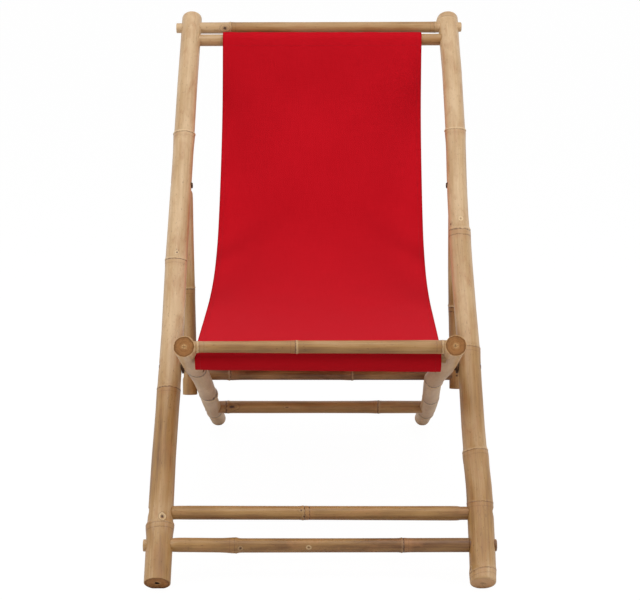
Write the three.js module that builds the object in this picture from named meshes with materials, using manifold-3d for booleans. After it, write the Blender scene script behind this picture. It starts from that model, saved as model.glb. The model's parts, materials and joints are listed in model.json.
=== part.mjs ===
// A bamboo folding deck chair with a canvas sling, in millimetres.
// X runs across the chair, +Y from the front feet to the back, +Z up, with the floor at Z = 0.
// Three frames make it: the long back frame, the seat frame bolted inside it, and a prop frame that
// hangs behind the back poles and stands on the seat poles.

import * as THREE from "three";
import { mergeVertices } from "three/addons/utils/BufferGeometryUtils.js";
import Module from "manifold-3d";

const wasm = await Module();
wasm.setup();

// Driving dimensions: slopes and where the frames meet
const backSlope = THREE.MathUtils.degToRad(42.7);
const seatSlope = THREE.MathUtils.degToRad(24.5);
const backPivotPlace = 428; // from the foot end of a back pole to the seat pivot
const seatPivotPlace = 217; // from the front end of a seat pole to the same pivot
const hingePlace = 854; // from the foot end of a back pole to the prop hinge
const hingeSetback = 34; // from the axis of a back pole to the prop's hinge pin
const propRestPlace = 280; // from the seat pivot to where the crossbar lies on the seat poles
const propRestGap = 2.5; // kept between the crossbar and the seat poles

// Across the chair: the seat frame fits inside the back frame with a washer on each side
const backSpacing = 548; // between the axes of the back poles
const propInset = 7; // each prop pole hangs this far inside the axis of its back pole

// Poles
const backPoleLength = 1320;
const backFootRadius = 22.3;
const backWaistRadius = 20.6;
const backTopRadius = 21;
const seatFrontRadius = 17.6;
const seatRearRadius = 16.6;
const propTopRadius = 11.5;
const propTailRadius = 14;
const propTailLength = 39; // past the crossbar
const footWear = 1.5; // flat worn on the corner that stands on the floor
const endChamfer = 1.5;
const restNotchDepth = 2; // of the saddle in each seat pole under the crossbar

// Stem walls: a node is a low ring where the stem is partitioned
const nodeRise = 1.1;
const nodeReach = 7;
const swollenNodeRise = 2;
const pithRadius = 2.6;
const pithDepth = 9;

// Rails, rungs and bars
const topRailPlace = 1284;
const topRailRadius = 11.8;
const topRailOverhang = 11.5; // each overhang is past the pole's outer face
const topBarPlace = 1246;
const slingBarRadius = 12.2;
const lowerRungPlace = 70;
const upperRungPlace = 131;
const footRungRadius = 12.2;
const footRungOverhang = 5;
const frontRailPlace = 25.5;
const frontRailRadius = 11.2;
const frontRailLift = 4; // above the axes of the seat poles
const frontBarPlace = 61;
const frontBarDrop = 6; // below the axes of the seat poles
const rearRungPlace = 737;
const rearRungRadius = 13.5;
const crossbarRadius = 11.5;
const throughTenonRadius = 10.4; // of the rails that pass through the back poles
const tenonRadius = 8;
const barTenonRadius = 7;
const barTenonDepth = 18;
const shoulderGap = 0.6; // between a rail's shoulder and the pole that it meets
const shoulderChamfer = 1;
const flushInset = 1.5; // a tenon that ends inside the pole's outer face stops this far short

// Fasteners
const pegRadius = 2.4;
const pegProud = 0.6;
const pegTip = 4; // a blind peg ends this far past the tenon that it holds
const pivotBoltRadius = 5;
const pivotHeadRadius = 9;
const pivotHeadHeight = 5.5;
const pivotNutRadius = 8.6;
const pivotNutHeight = 6;
const pivotWasherRadius = 11;
const pivotWasherThickness = 3.8;
const hingeBoltRadius = 3;
const hingeHeadRadius = 6.4;
const hingeHeadHeight = 3.6;
const hingeNutRadius = 6;
const hingeNutHeight = 4.6;
const hingeNutProud = 3.4;
const hingePlateRadius = 9;
const hingePlateThickness = 4;
const boltEndProud = 0.5;

// Canvas sling
const slingSideGap = 3; // from each edge of the cloth to the seat pole beside it
const clothThickness = 2;
const slingDish = 7; // how far the middle of the cloth hangs below its edges
const frontPocketDrop = 5; // the front pocket hangs below its bar by this much
const pocketTail = Math.PI / 6; // slope of the hem's return to the cloth
const hemGap = 1.2;
const frontBarSlope = 0.03; // of the cloth where it leaves the front bar
const topBarLean = 0.16; // of the cloth from upright where it leaves the top bar

// Clearances
const fit = 0.3; // between two pieces that touch
const running = 0.6; // added to a pocket that a piece turns or moves in
const overrun = 5; // how far a cut reaches past what it cuts

// Facets round each kind of piece
const poleSides = 20;
const railSides = 14;
const boltSides = 12;
const pegSides = 8;
const slingColumns = 6;
const slingSteps = 26;
const pocketSteps = 12;

// Places of the nodes, as shares of each pole's length from its foot or front end
const leftBackNodeShares = [0.08, 0.288, 0.508, 0.747];
const rightBackNodeShares = [0.114, 0.191, 0.355, 0.563, 0.755];
const leftSeatNodeShares = [0.27, 0.853];
const leftSeatSwollenShare = 0.645;
const rightSeatNodeShares = [0.375, 0.86];
const leftPropNodeShares = [0.465];
const rightPropNodeShares = [0.565];

// Places of the nodes of the rails, as shares of half the clear span, from the chair's middle
const topRailNodeShares = [-0.79, 0.93];
const lowerRungNodeShares = [-0.55, 0.54];
const upperRungNodeShares = [-0.06];
const frontRailNodeShares = [-0.18];
const rearRungNodeShares = [-0.9, 0.6];
const crossbarNodeShares = [-0.74, 0.22];

// The cloth's line between its two bars: [share of the run back, share of the rise]
const slingShares = [
  [0.137, 0.036],
  [0.257, 0.044],
  [0.417, 0.058],
  [0.55, 0.09],
  [0.655, 0.146],
  [0.757, 0.25],
  [0.873, 0.475],
  [0.952, 0.713],
];

// Finishes
const bamboo = { color: 0xc9a77a, roughness: 0.45, metalness: 0 };
const peg = { color: 0x8a6a48, roughness: 0.7, metalness: 0 };
const canvas = { color: 0xba1622, roughness: 0.9, metalness: 0 };
const steel = { color: 0x3a3633, roughness: 0.5, metalness: 0.9 };

const sides = [
  ["left", -1],
  ["right", 1],
];

// Solids

function solidOf(geometry) {
  const bare = geometry.clone();
  bare.deleteAttribute("normal");
  bare.deleteAttribute("uv");
  const merged = mergeVertices(bare);
  const triVerts = [];
  const index = merged.index.array;
  for (let i = 0; i < index.length; i += 3) {
    const [a, b, c] = index.slice(i, i + 3);
    if (a !== b && b !== c && c !== a) triVerts.push(a, b, c);
  }
  return new wasm.Manifold(
    new wasm.Mesh({
      numProp: 3,
      vertProperties: merged.attributes.position.array,
      triVerts: new Uint32Array(triVerts),
    }),
  );
}

function geometryOf(solid) {
  const mesh = solid.getMesh();
  return new THREE.BufferGeometry()
    .setAttribute("position", new THREE.BufferAttribute(mesh.vertProperties, 3))
    .setIndex(new THREE.BufferAttribute(mesh.triVerts, 1));
}

function cut(geometry, tools) {
  return geometryOf(tools.reduce((left, tool) => left.subtract(solidOf(tool)), solidOf(geometry)));
}

function piece(name, geometry, finish) {
  const material = new THREE.MeshStandardMaterial(finish);
  const mesh = new THREE.Mesh(geometry, material);
  mesh.name = name;
  return mesh;
}

// A round piece along +Y from a profile of [radius, place] points
function turned(profile, count) {
  const points = profile.map(([radius, place]) => new THREE.Vector2(radius, place));
  return new THREE.LatheGeometry(points, count);
}

const alongX = (geometry) => geometry.rotateZ(-Math.PI / 2);
const alongZ = (geometry) => geometry.rotateX(Math.PI / 2);

// A plain round cutter, centred on the origin, along +Y
const drill = (radius, length, count) => new THREE.CylinderGeometry(radius, radius, length, count);

// A cutter across the chair at one place of a frame, reaching from one X to another
function drillAcross(radius, fromX, toX, place, height, count) {
  const tool = alongX(drill(radius, Math.abs(toX - fromX), count));
  return tool.translate((fromX + toX) / 2, place, height);
}

// Stems

// The node rings of a stem, as profile points
function nodeProfile(places, radiusAt, rise) {
  return places.flatMap((place) => [
    [radiusAt(place - nodeReach), place - nodeReach],
    [radiusAt(place) + rise, place],
    [radiusAt(place + nodeReach), place + nodeReach],
  ]);
}

// A pole along +Y from its own end face; the face at the start shows the pith
function pole(length, radiusAt, nodePlaces, swollenPlaces = []) {
  const rings = [
    ...nodeProfile(nodePlaces, radiusAt, nodeRise),
    ...nodeProfile(swollenPlaces, radiusAt, swollenNodeRise),
  ].sort((a, b) => a[1] - b[1]);
  return turned(
    [
      [0, pithDepth],
      [pithRadius, pithDepth],
      [pithRadius, 0],
      [radiusAt(0) - endChamfer, 0],
      [radiusAt(endChamfer), endChamfer],
      ...rings,
      [radiusAt(length - endChamfer), length - endChamfer],
      [radiusAt(length) - endChamfer, length],
      [0, length],
    ],
    poleSides,
  );
}

// A rail along X, centred, with a tenon of its own at both ends
function rail({ radius, clearSpan, length, tenon, nodeShares = [] }) {
  const half = clearSpan / 2;
  const nodes = nodeProfile(
    nodeShares.map((share) => share * half),
    () => radius,
    nodeRise,
  );
  const geometry = turned(
    [
      [0, -length / 2],
      [tenon - endChamfer, -length / 2],
      [tenon, endChamfer - length / 2],
      [tenon, -half],
      [radius - shoulderChamfer, -half],
      [radius, shoulderChamfer - half],
      ...nodes,
      [radius, half - shoulderChamfer],
      [radius - shoulderChamfer, half],
      [tenon, half],
      [tenon, length / 2 - endChamfer],
      [tenon - endChamfer, length / 2],
      [0, length / 2],
    ],
    railSides,
  );
  return alongX(geometry);
}

// The hole for a peg through a pole and its tenon, between two heights above the pole's axis
function pegHole(x, place, from, to) {
  const hole = alongZ(drill(pegRadius + fit, Math.abs(to - from), pegSides));
  return hole.translate(x, place, (from + to) / 2);
}

function pegOf(name, x, place, from, to) {
  const shape = alongZ(drill(pegRadius, Math.abs(to - from), pegSides));
  return piece(name, shape.translate(x, place, (from + to) / 2), peg);
}

// Where the frames lie, seen from the side as [back, up]

const backFootHeight = backFootRadius * Math.cos(backSlope) - footWear;
const backAxis = new THREE.Vector2(Math.cos(backSlope), Math.sin(backSlope));
const behindBack = new THREE.Vector2(backAxis.y, -backAxis.x);
const seatAxis = new THREE.Vector2(Math.cos(seatSlope), -Math.sin(seatSlope));
const aboveSeat = new THREE.Vector2(-seatAxis.y, seatAxis.x);

const foot = new THREE.Vector2(0, backFootHeight);
const pivot = foot.clone().addScaledVector(backAxis, backPivotPlace);
const seatFront = pivot.clone().addScaledVector(seatAxis, -seatPivotPlace);
const seatReach = (pivot.y + footWear - seatRearRadius * seatAxis.x) / Math.sin(seatSlope);
const seatPoleLength = seatPivotPlace + seatReach;

const backRadiusAt = (place) => {
  const waist = backPoleLength / 2;
  const share = Math.abs(place - waist) / waist;
  return THREE.MathUtils.lerp(backWaistRadius, place < waist ? backFootRadius : backTopRadius, share);
};
const seatRadiusAt = (place) =>
  THREE.MathUtils.lerp(seatFrontRadius, seatRearRadius, place / seatPoleLength);

const pivotStack = backRadiusAt(backPivotPlace) + pivotWasherThickness + seatRadiusAt(seatPivotPlace);
const seatSpacing = backSpacing - 2 * (pivotStack + 2 * fit);
const propSpacing = backSpacing - 2 * propInset;

const hingePin = foot
  .clone()
  .addScaledVector(backAxis, hingePlace)
  .addScaledVector(behindBack, hingeSetback);
const crossbarLift = seatRadiusAt(seatPivotPlace + propRestPlace) + propRestGap + crossbarRadius;
const crossbar = pivot
  .clone()
  .addScaledVector(seatAxis, propRestPlace)
  .addScaledVector(aboveSeat, crossbarLift);
const propAxis = crossbar.clone().sub(hingePin);
const crossbarPlace = propAxis.length();
const propPoleLength = crossbarPlace + propTailLength;
const propRadiusAt = (place) =>
  THREE.MathUtils.lerp(propTopRadius, propTailRadius, place / propPoleLength);

function frameAt(point, slope) {
  const frame = new THREE.Group();
  frame.position.set(0, point.x, point.y);
  frame.rotation.x = slope;
  frame.updateMatrixWorld();
  return frame;
}

const backFrame = frameAt(foot, backSlope);
const seatFrame = frameAt(seatFront, -seatSlope);
const propFrame = frameAt(hingePin, propAxis.angle());

// Everything under the floor, as a cutter in a frame's own axes
function underFloor(frame) {
  const size = 2 * backPoleLength;
  const block = new THREE.BoxGeometry(size, size, size).translate(0, 0, -size / 2);
  return block.applyMatrix4(frame.matrixWorld.clone().invert());
}

// Back frame: what crosses it

const backInner = backSpacing / 2 - backFootRadius;
const backOuter = backSpacing / 2 + backWaistRadius;
const backClearSpan = (place) => backSpacing - 2 * (backRadiusAt(place) + shoulderGap);
const acrossBack = (place, overhang) => backSpacing + 2 * (backRadiusAt(place) + overhang);

const backRails = [
  ["top_rail", topRailPlace, topRailRadius, topRailOverhang, topRailNodeShares],
  ["upper_foot_rung", upperRungPlace, footRungRadius, -flushInset, upperRungNodeShares],
  ["lower_foot_rung", lowerRungPlace, footRungRadius, footRungOverhang, lowerRungNodeShares],
];
const pegNames = { top_rail: "top", upper_foot_rung: "upper_rung", lower_foot_rung: "lower_rung" };

// Pegs are driven in from behind the back poles and end inside them
const backPegEnd = throughTenonRadius + pegTip;
const backPegHole = (x, place) => pegHole(x, place, -backFootRadius - overrun, backPegEnd + fit);

for (const [name, place, radius, overhang, nodeShares] of backRails) {
  const shape = rail({
    radius,
    clearSpan: backClearSpan(place),
    length: acrossBack(place, overhang),
    tenon: throughTenonRadius,
    nodeShares,
  }).translate(0, place, 0);
  const holes = sides.map(([, side]) => backPegHole((side * backSpacing) / 2, place));
  backFrame.add(piece(name, cut(shape, holes), bamboo));
  const pegStart = -backRadiusAt(place) - pegProud;
  for (const [sideName, side] of sides) {
    const pegName = `${sideName}_${pegNames[name]}_peg`;
    backFrame.add(pegOf(pegName, (side * backSpacing) / 2, place, pegStart, backPegEnd));
  }
}

const topBarSpan = backClearSpan(topBarPlace);
const topBarShape = rail({
  radius: slingBarRadius,
  clearSpan: topBarSpan,
  length: topBarSpan + 2 * barTenonDepth,
  tenon: barTenonRadius,
});
backFrame.add(piece("top_sling_bar", topBarShape.translate(0, topBarPlace, 0), bamboo));

// The seat pivot: a bolt from outside each back pole into the seat pole, with a washer between

const pivotHeadSeat = backSpacing / 2 + backRadiusAt(backPivotPlace) - pivotHeadHeight - fit;
const seatInner = seatSpacing / 2 - seatRadiusAt(seatPivotPlace);
const pivotNutSeat = seatInner + pivotNutHeight + fit;
const pivotBore = pivotBoltRadius + fit;
const pivotRecess = pivotHeadRadius + running;

// The prop hinge: a plate let into the back of each back pole, held by a bolt, carrying the hinge pin

const plateX = (backSpacing + propSpacing) / 4;
const kerfWidth = hingePlateThickness + 2 * fit;
const hingeInnerFace = backSpacing / 2 - backRadiusAt(hingePlace);
const hingeNutFace = hingeInnerFace - hingeNutProud;
const hingeNutSeat = hingeNutFace + hingeNutHeight;
const hingeHeadSeat = backSpacing / 2 + backRadiusAt(hingePlace) - hingeHeadHeight - fit;
const hingeRecess = hingeHeadRadius + running;
const plateKerf = hingePlateRadius + fit;

function backPole(sideName, side, nodeShares) {
  const x = (side * backSpacing) / 2;
  const shape = pole(
    backPoleLength,
    backRadiusAt,
    nodeShares.map((share) => share * backPoleLength),
  ).translate(x, 0, 0);
  const outside = side * (backOuter + topRailOverhang + overrun);
  const inside = side * (backInner - overrun);
  const tools = [
    underFloor(backFrame),
    drillAcross(pivotBore, inside, outside, backPivotPlace, 0, boltSides),
    drillAcross(pivotRecess, side * pivotHeadSeat, outside, backPivotPlace, 0, boltSides),
    drillAcross(hingeBoltRadius + fit, inside, outside, hingePlace, 0, boltSides),
    drillAcross(hingeRecess, side * hingeHeadSeat, outside, hingePlace, 0, boltSides),
    drillAcross(hingeRecess, inside, side * (hingeNutSeat + fit), hingePlace, 0, boltSides),
    drillAcross(
      barTenonRadius + fit,
      inside,
      side * (topBarSpan / 2 + barTenonDepth + fit),
      topBarPlace,
      0,
      railSides,
    ),
  ];
  for (const [, place] of backRails) {
    tools.push(drillAcross(throughTenonRadius + fit, inside, outside, place, 0, railSides));
    tools.push(backPegHole(x, place));
  }
  const kerfDepth = backFootRadius + overrun + plateKerf;
  const kerf = new THREE.BoxGeometry(kerfWidth, 2 * plateKerf, kerfDepth);
  tools.push(kerf.translate(side * plateX, hingePlace, plateKerf - kerfDepth / 2));
  return piece(`${sideName}_back_pole`, cut(shape, tools), bamboo);
}
backFrame.add(backPole("left", -1, leftBackNodeShares));
backFrame.add(backPole("right", 1, rightBackNodeShares));

// A bolt lying along X: the head's underside at headSeat, the shank's end at endX, on one side
function bolt(name, side, { headSeat, endX, radius, headRadius, headHeight, place }) {
  const crown = headHeight / 2;
  const geometry = turned(
    [
      [0, endX],
      [radius - boltEndProud, endX],
      [radius, endX + boltEndProud],
      [radius, headSeat + fit],
      [headRadius, headSeat + fit],
      [headRadius, headSeat + crown],
      [headRadius / 2, headSeat + headHeight],
      [0, headSeat + headHeight],
    ],
    boltSides,
  );
  alongX(geometry).rotateY(side < 0 ? Math.PI : 0);
  return piece(name, geometry.translate(0, place, 0), steel);
}

// A hexagonal nut or a round washer lying along X, from one X to another
function ring(name, side, { fromX, toX, radius, hole, corners, place }) {
  const outline = new THREE.Shape();
  for (let i = 0; i < corners; i++) {
    const angle = (2 * Math.PI * i) / corners;
    outline[i ? "lineTo" : "moveTo"](radius * Math.cos(angle), radius * Math.sin(angle));
  }
  const bore = new THREE.Path().absarc(0, 0, hole, 0, 2 * Math.PI, true);
  outline.closePath();
  outline.holes.push(bore);
  const geometry = new THREE.ExtrudeGeometry(outline, {
    depth: toX - fromX,
    bevelEnabled: false,
    curveSegments: boltSides / 2,
  });
  geometry.rotateY(Math.PI / 2).translate(fromX, 0, 0);
  geometry.rotateY(side < 0 ? Math.PI : 0);
  return piece(name, geometry.translate(0, place, 0), steel);
}

for (const [sideName, side] of sides) {
  backFrame.add(
    bolt(`${sideName}_pivot_bolt`, side, {
      headSeat: pivotHeadSeat,
      endX: seatInner + boltEndProud,
      radius: pivotBoltRadius,
      headRadius: pivotHeadRadius,
      headHeight: pivotHeadHeight,
      place: backPivotPlace,
    }),
    ring(`${sideName}_pivot_nut`, side, {
      fromX: seatInner + fit,
      toX: pivotNutSeat,
      radius: pivotNutRadius,
      hole: pivotBore,
      corners: 6,
      place: backPivotPlace,
    }),
    ring(`${sideName}_pivot_washer`, side, {
      fromX: seatSpacing / 2 + seatRadiusAt(seatPivotPlace) + fit,
      toX: backSpacing / 2 - backRadiusAt(backPivotPlace) - fit,
      radius: pivotWasherRadius,
      hole: pivotBore,
      corners: boltSides,
      place: backPivotPlace,
    }),
    bolt(`${sideName}_hinge_bolt`, side, {
      headSeat: hingeHeadSeat,
      endX: hingeNutFace - boltEndProud,
      radius: hingeBoltRadius,
      headRadius: hingeHeadRadius,
      headHeight: hingeHeadHeight,
      place: hingePlace,
    }),
    ring(`${sideName}_hinge_nut`, side, {
      fromX: hingeNutFace,
      toX: hingeNutSeat,
      radius: hingeNutRadius,
      hole: hingeBoltRadius + fit,
      corners: 6,
      place: hingePlace,
    }),
    hingePlate(`${sideName}_hinge_plate`, side),
  );
}

// A plate with round ends, from the bolt in the pole to the hinge pin behind it
function hingePlate(name, side) {
  const outline = new THREE.Shape();
  outline.absarc(0, 0, hingePlateRadius, -Math.PI / 2, Math.PI / 2, false);
  outline.absarc(-hingeSetback, 0, hingePlateRadius, Math.PI / 2, (3 * Math.PI) / 2, false);
  outline.closePath();
  for (const centre of [0, -hingeSetback]) {
    const hole = hingeBoltRadius + fit;
    outline.holes.push(new THREE.Path().absarc(centre, 0, hole, 0, 2 * Math.PI, true));
  }
  const geometry = new THREE.ExtrudeGeometry(outline, {
    depth: hingePlateThickness,
    bevelEnabled: false,
    curveSegments: boltSides / 2,
  });
  geometry.translate(0, 0, -hingePlateThickness / 2).rotateY(-Math.PI / 2);
  return piece(name, geometry.translate(side * plateX, hingePlace, 0), steel);
}

// Seat frame

const seatClearSpan = (place) => seatSpacing - 2 * (seatRadiusAt(place) + shoulderGap);
const acrossSeat = (place) => seatSpacing + 2 * (seatRadiusAt(place) - flushInset);
const seatRails = [
  ["front_rail", frontRailPlace, frontRailLift, frontRailRadius, frontRailNodeShares],
  ["rear_rung", rearRungPlace, 0, rearRungRadius, rearRungNodeShares],
];

// Pegs are driven in from above the seat poles and end inside them
const seatPegEnd = -tenonRadius - pegTip;
const seatPegHole = (x, place) => pegHole(x, place, seatFrontRadius + overrun, seatPegEnd - fit);

for (const [name, place, lift, radius, nodeShares] of seatRails) {
  const shape = rail({
    radius,
    clearSpan: seatClearSpan(place),
    length: acrossSeat(place),
    tenon: tenonRadius,
    nodeShares,
  }).translate(0, place, lift);
  const holes = sides.map(([, side]) => seatPegHole((side * seatSpacing) / 2, place));
  seatFrame.add(piece(name, cut(shape, holes), bamboo));
  const pegStart = seatRadiusAt(place) + pegProud;
  for (const [sideName, side] of sides) {
    const x = (side * seatSpacing) / 2;
    seatFrame.add(pegOf(`${sideName}_${name}_peg`, x, place, pegStart, seatPegEnd));
  }
}

const frontBarSpan = seatClearSpan(frontBarPlace);
const frontBarShape = rail({
  radius: slingBarRadius,
  clearSpan: frontBarSpan,
  length: frontBarSpan + 2 * barTenonDepth,
  tenon: barTenonRadius,
});
frontBarShape.translate(0, frontBarPlace, -frontBarDrop);
seatFrame.add(piece("front_sling_bar", frontBarShape, bamboo));

function seatPole(sideName, side, nodeShares, swollenShares) {
  const x = (side * seatSpacing) / 2;
  const shape = pole(
    seatPoleLength,
    seatRadiusAt,
    nodeShares.map((share) => share * seatPoleLength),
    swollenShares.map((share) => share * seatPoleLength),
  ).translate(x, 0, 0);
  const outside = side * (seatSpacing / 2 + seatFrontRadius + overrun);
  const inside = side * (seatSpacing / 2 - seatFrontRadius - overrun);
  const barSocket = side * (frontBarSpan / 2 + barTenonDepth + fit);
  const restPlace = seatPivotPlace + propRestPlace;
  const notchRadius = crossbarRadius + propRestGap + restNotchDepth;
  const tools = [
    underFloor(seatFrame),
    drillAcross(pivotBore, inside, outside, seatPivotPlace, 0, boltSides),
    drillAcross(pivotRecess, inside, side * (pivotNutSeat + fit), seatPivotPlace, 0, boltSides),
    drillAcross(barTenonRadius + fit, inside, barSocket, frontBarPlace, -frontBarDrop, railSides),
    drillAcross(notchRadius, inside, outside, restPlace, crossbarLift, poleSides),
  ];
  for (const [, place, lift] of seatRails) {
    tools.push(drillAcross(tenonRadius + fit, inside, outside, place, lift, railSides));
    tools.push(seatPegHole(x, place));
  }
  return piece(`${sideName}_seat_pole`, cut(shape, tools), bamboo);
}
seatFrame.add(seatPole("left", -1, leftSeatNodeShares, [leftSeatSwollenShare]));
seatFrame.add(seatPole("right", 1, rightSeatNodeShares, []));

// Prop frame: it hangs from the two hinge pins and its crossbar lies on the seat poles

const propClearSpan = propSpacing - 2 * (propTailRadius + shoulderGap);
const crossbarShape = rail({
  radius: crossbarRadius,
  clearSpan: propClearSpan,
  length: propSpacing + 2 * (propRadiusAt(crossbarPlace) - flushInset),
  tenon: tenonRadius,
  nodeShares: crossbarNodeShares,
}).translate(0, crossbarPlace, 0);
const propPegReach = propTailRadius + overrun;
const propPegHole = (x) => pegHole(x, crossbarPlace, -propPegReach, propPegReach);
const crossbarHoles = sides.map(([, side]) => propPegHole((side * propSpacing) / 2));
propFrame.add(piece("prop_crossbar", cut(crossbarShape, crossbarHoles), bamboo));

// A prop pole starts in a dome round its hinge pin and is slit there for the hinge plate
function propPole(sideName, side, nodeShares) {
  const x = (side * propSpacing) / 2;
  const domeSteps = 4;
  const dome = Array.from({ length: domeSteps }, (_, i) => {
    const angle = (i / domeSteps) * (Math.PI / 2);
    return [propTopRadius * Math.sin(angle), -propTopRadius * Math.cos(angle)];
  });
  const nodes = nodeShares.map((share) => share * propPoleLength);
  const shape = turned(
    [
      ...dome,
      [propTopRadius, 0],
      ...nodeProfile(nodes, propRadiusAt, nodeRise),
      [propTailRadius, propPoleLength - endChamfer],
      [propTailRadius - endChamfer, propPoleLength],
      [pithRadius, propPoleLength],
      [pithRadius, propPoleLength - pithDepth],
      [0, propPoleLength - pithDepth],
    ],
    poleSides,
  ).translate(x, 0, 0);
  const reach = propTailRadius + overrun;
  const outside = x + reach;
  const inside = x - reach;
  const kerfLength = reach + hingePlateRadius + running;
  const kerf = new THREE.BoxGeometry(kerfWidth, kerfLength, 2 * reach);
  const tools = [
    kerf.translate(side * plateX, kerfLength / 2 - reach, 0),
    drillAcross(hingeBoltRadius + fit, inside, outside, 0, 0, boltSides),
    drillAcross(tenonRadius + fit, inside, outside, crossbarPlace, 0, railSides),
    propPegHole(x),
  ];
  return piece(`${sideName}_prop_pole`, cut(shape, tools), bamboo);
}
propFrame.add(propPole("left", -1, leftPropNodeShares));
propFrame.add(propPole("right", 1, rightPropNodeShares));

for (const [sideName, side] of sides) {
  const x = (side * propSpacing) / 2;
  const pegReach = propRadiusAt(crossbarPlace) + pegProud;
  propFrame.add(pegOf(`${sideName}_crossbar_peg`, x, crossbarPlace, -pegReach, pegReach));
  const pinLength = 2 * (propTopRadius - pegProud);
  const pin = alongX(drill(hingeBoltRadius, pinLength, boltSides)).translate(x, 0, 0);
  propFrame.add(piece(`${sideName}_hinge_pin`, pin, steel));
}

// Canvas sling: one cloth, with a pocket sewn round each bar

const topBar = foot.clone().addScaledVector(backAxis, topBarPlace);
const frontBar = seatFront
  .clone()
  .addScaledVector(seatAxis, frontBarPlace)
  .addScaledVector(aboveSeat, -frontBarDrop);
const run = topBar.x - frontBar.x;
const rise = topBar.y - frontBar.y;
const topPocketRadius = slingBarRadius + fit + clothThickness / 2;
const frontPocketRadius = topPocketRadius + frontPocketDrop;
const frontPocket = frontBar.clone().sub(new THREE.Vector2(0, frontPocketDrop));

// Points round a pocket, from where the cloth leaves it to the end of its hem.
// leaving is the cloth's direction away from the pocket, and turn is the side that the cloth goes round.
function pocketLine(centre, radius, leaving, turn) {
  const start = leaving + (turn * Math.PI) / 2;
  const sweep = Math.PI + 2 * pocketTail;
  const points = Array.from({ length: pocketSteps + 1 }, (_, i) => {
    const angle = start + (turn * sweep * i) / pocketSteps;
    return new THREE.Vector2(Math.cos(angle), Math.sin(angle)).multiplyScalar(radius).add(centre);
  });
  const rising = start + turn * (sweep + Math.PI / 2);
  const direction = new THREE.Vector2(Math.cos(rising), Math.sin(rising));
  const closing = radius * (1 + Math.cos(2 * pocketTail)) - clothThickness - hemGap;
  const hem = points.at(-1).clone().addScaledVector(direction, closing / Math.sin(2 * pocketTail));
  return [...points, hem];
}

const slingHalfWidth = seatSpacing / 2 - seatFrontRadius - slingSideGap;
const frontLoop = pocketLine(frontPocket, frontPocketRadius, frontBarSlope, 1);
const topLoop = pocketLine(topBar, topPocketRadius, -Math.PI / 2 - topBarLean, -1);
const clothSpline = new THREE.SplineCurve([
  frontLoop[0],
  ...slingShares.map(([back, up]) => new THREE.Vector2(frontBar.x + back * run, frontBar.y + up * rise)),
  topLoop[0],
]);
const clothLine = [
  ...frontLoop.toReversed(),
  ...clothSpline.getSpacedPoints(slingSteps).slice(1, -1),
  ...topLoop,
];

// The cloth as a closed sheet: two skins across the chair, joined round their rim
function sling() {
  const rows = clothLine.length;
  const columns = slingColumns + 1;
  const positions = [];
  for (const skin of [1, -1]) {
    clothLine.forEach((point, row) => {
      const before = clothLine[Math.max(row - 1, 0)];
      const after = clothLine[Math.min(row + 1, rows - 1)];
      const tangent = after.clone().sub(before).normalize();
      const share = (row - frontLoop.length) / (rows - frontLoop.length - topLoop.length);
      const dish = slingDish * Math.max(0, Math.sin(Math.PI * THREE.MathUtils.clamp(share, 0, 1)));
      for (let column = 0; column < columns; column++) {
        const across = (2 * column) / slingColumns - 1;
        const offset = (skin * clothThickness) / 2 - dish * (1 - across * across);
        positions.push(across * slingHalfWidth);
        positions.push(point.x - tangent.y * offset);
        positions.push(point.y + tangent.x * offset);
      }
    });
  }
  const at = (skin, row, column) => (skin * rows + row) * columns + column;
  const index = [];
  const quad = (a, b, c, d) => index.push(a, b, c, a, c, d);
  for (let row = 0; row < rows - 1; row++) {
    for (let column = 0; column < slingColumns; column++) {
      const corners = [[row, column], [row, column + 1], [row + 1, column + 1], [row + 1, column]];
      quad(...corners.map(([r, c]) => at(0, r, c)));
      quad(...corners.toReversed().map(([r, c]) => at(1, r, c)));
    }
    quad(at(0, row, 0), at(0, row + 1, 0), at(1, row + 1, 0), at(1, row, 0));
    quad(
      at(0, row + 1, slingColumns),
      at(0, row, slingColumns),
      at(1, row, slingColumns),
      at(1, row + 1, slingColumns),
    );
  }
  for (let column = 0; column < slingColumns; column++) {
    const last = rows - 1;
    quad(at(0, 0, column + 1), at(0, 0, column), at(1, 0, column), at(1, 0, column + 1));
    quad(at(0, last, column), at(0, last, column + 1), at(1, last, column + 1), at(1, last, column));
  }
  const geometry = new THREE.BufferGeometry();
  geometry.setAttribute("position", new THREE.Float32BufferAttribute(positions, 3));
  return geometry.setIndex(index);
}

// The chair, moved so that the origin lies on the floor at the middle of its length

const chair = new THREE.Group();
chair.add(backFrame, seatFrame, propFrame, piece("canvas_sling", sling(), canvas));
const box = new THREE.Box3().setFromObject(chair);
chair.position.y = -(box.min.y + box.max.y) / 2;

export default chair;
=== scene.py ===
"""Looks of the bamboo folding deck chair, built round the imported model.

Laid out as an add-on: sizes and colours are properties, each group of pieces is an operator,
and a panel in the sidebar lists the operators. Run as a script, it builds the whole scene.
Stems and fasteners are given in millimetres; properties, cloth, camera and stage in metres.
"""

import itertools
import json
import math
import random
from dataclasses import dataclass, field

import bpy
import numpy as np
from mathutils import Color, Matrix, Vector

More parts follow.
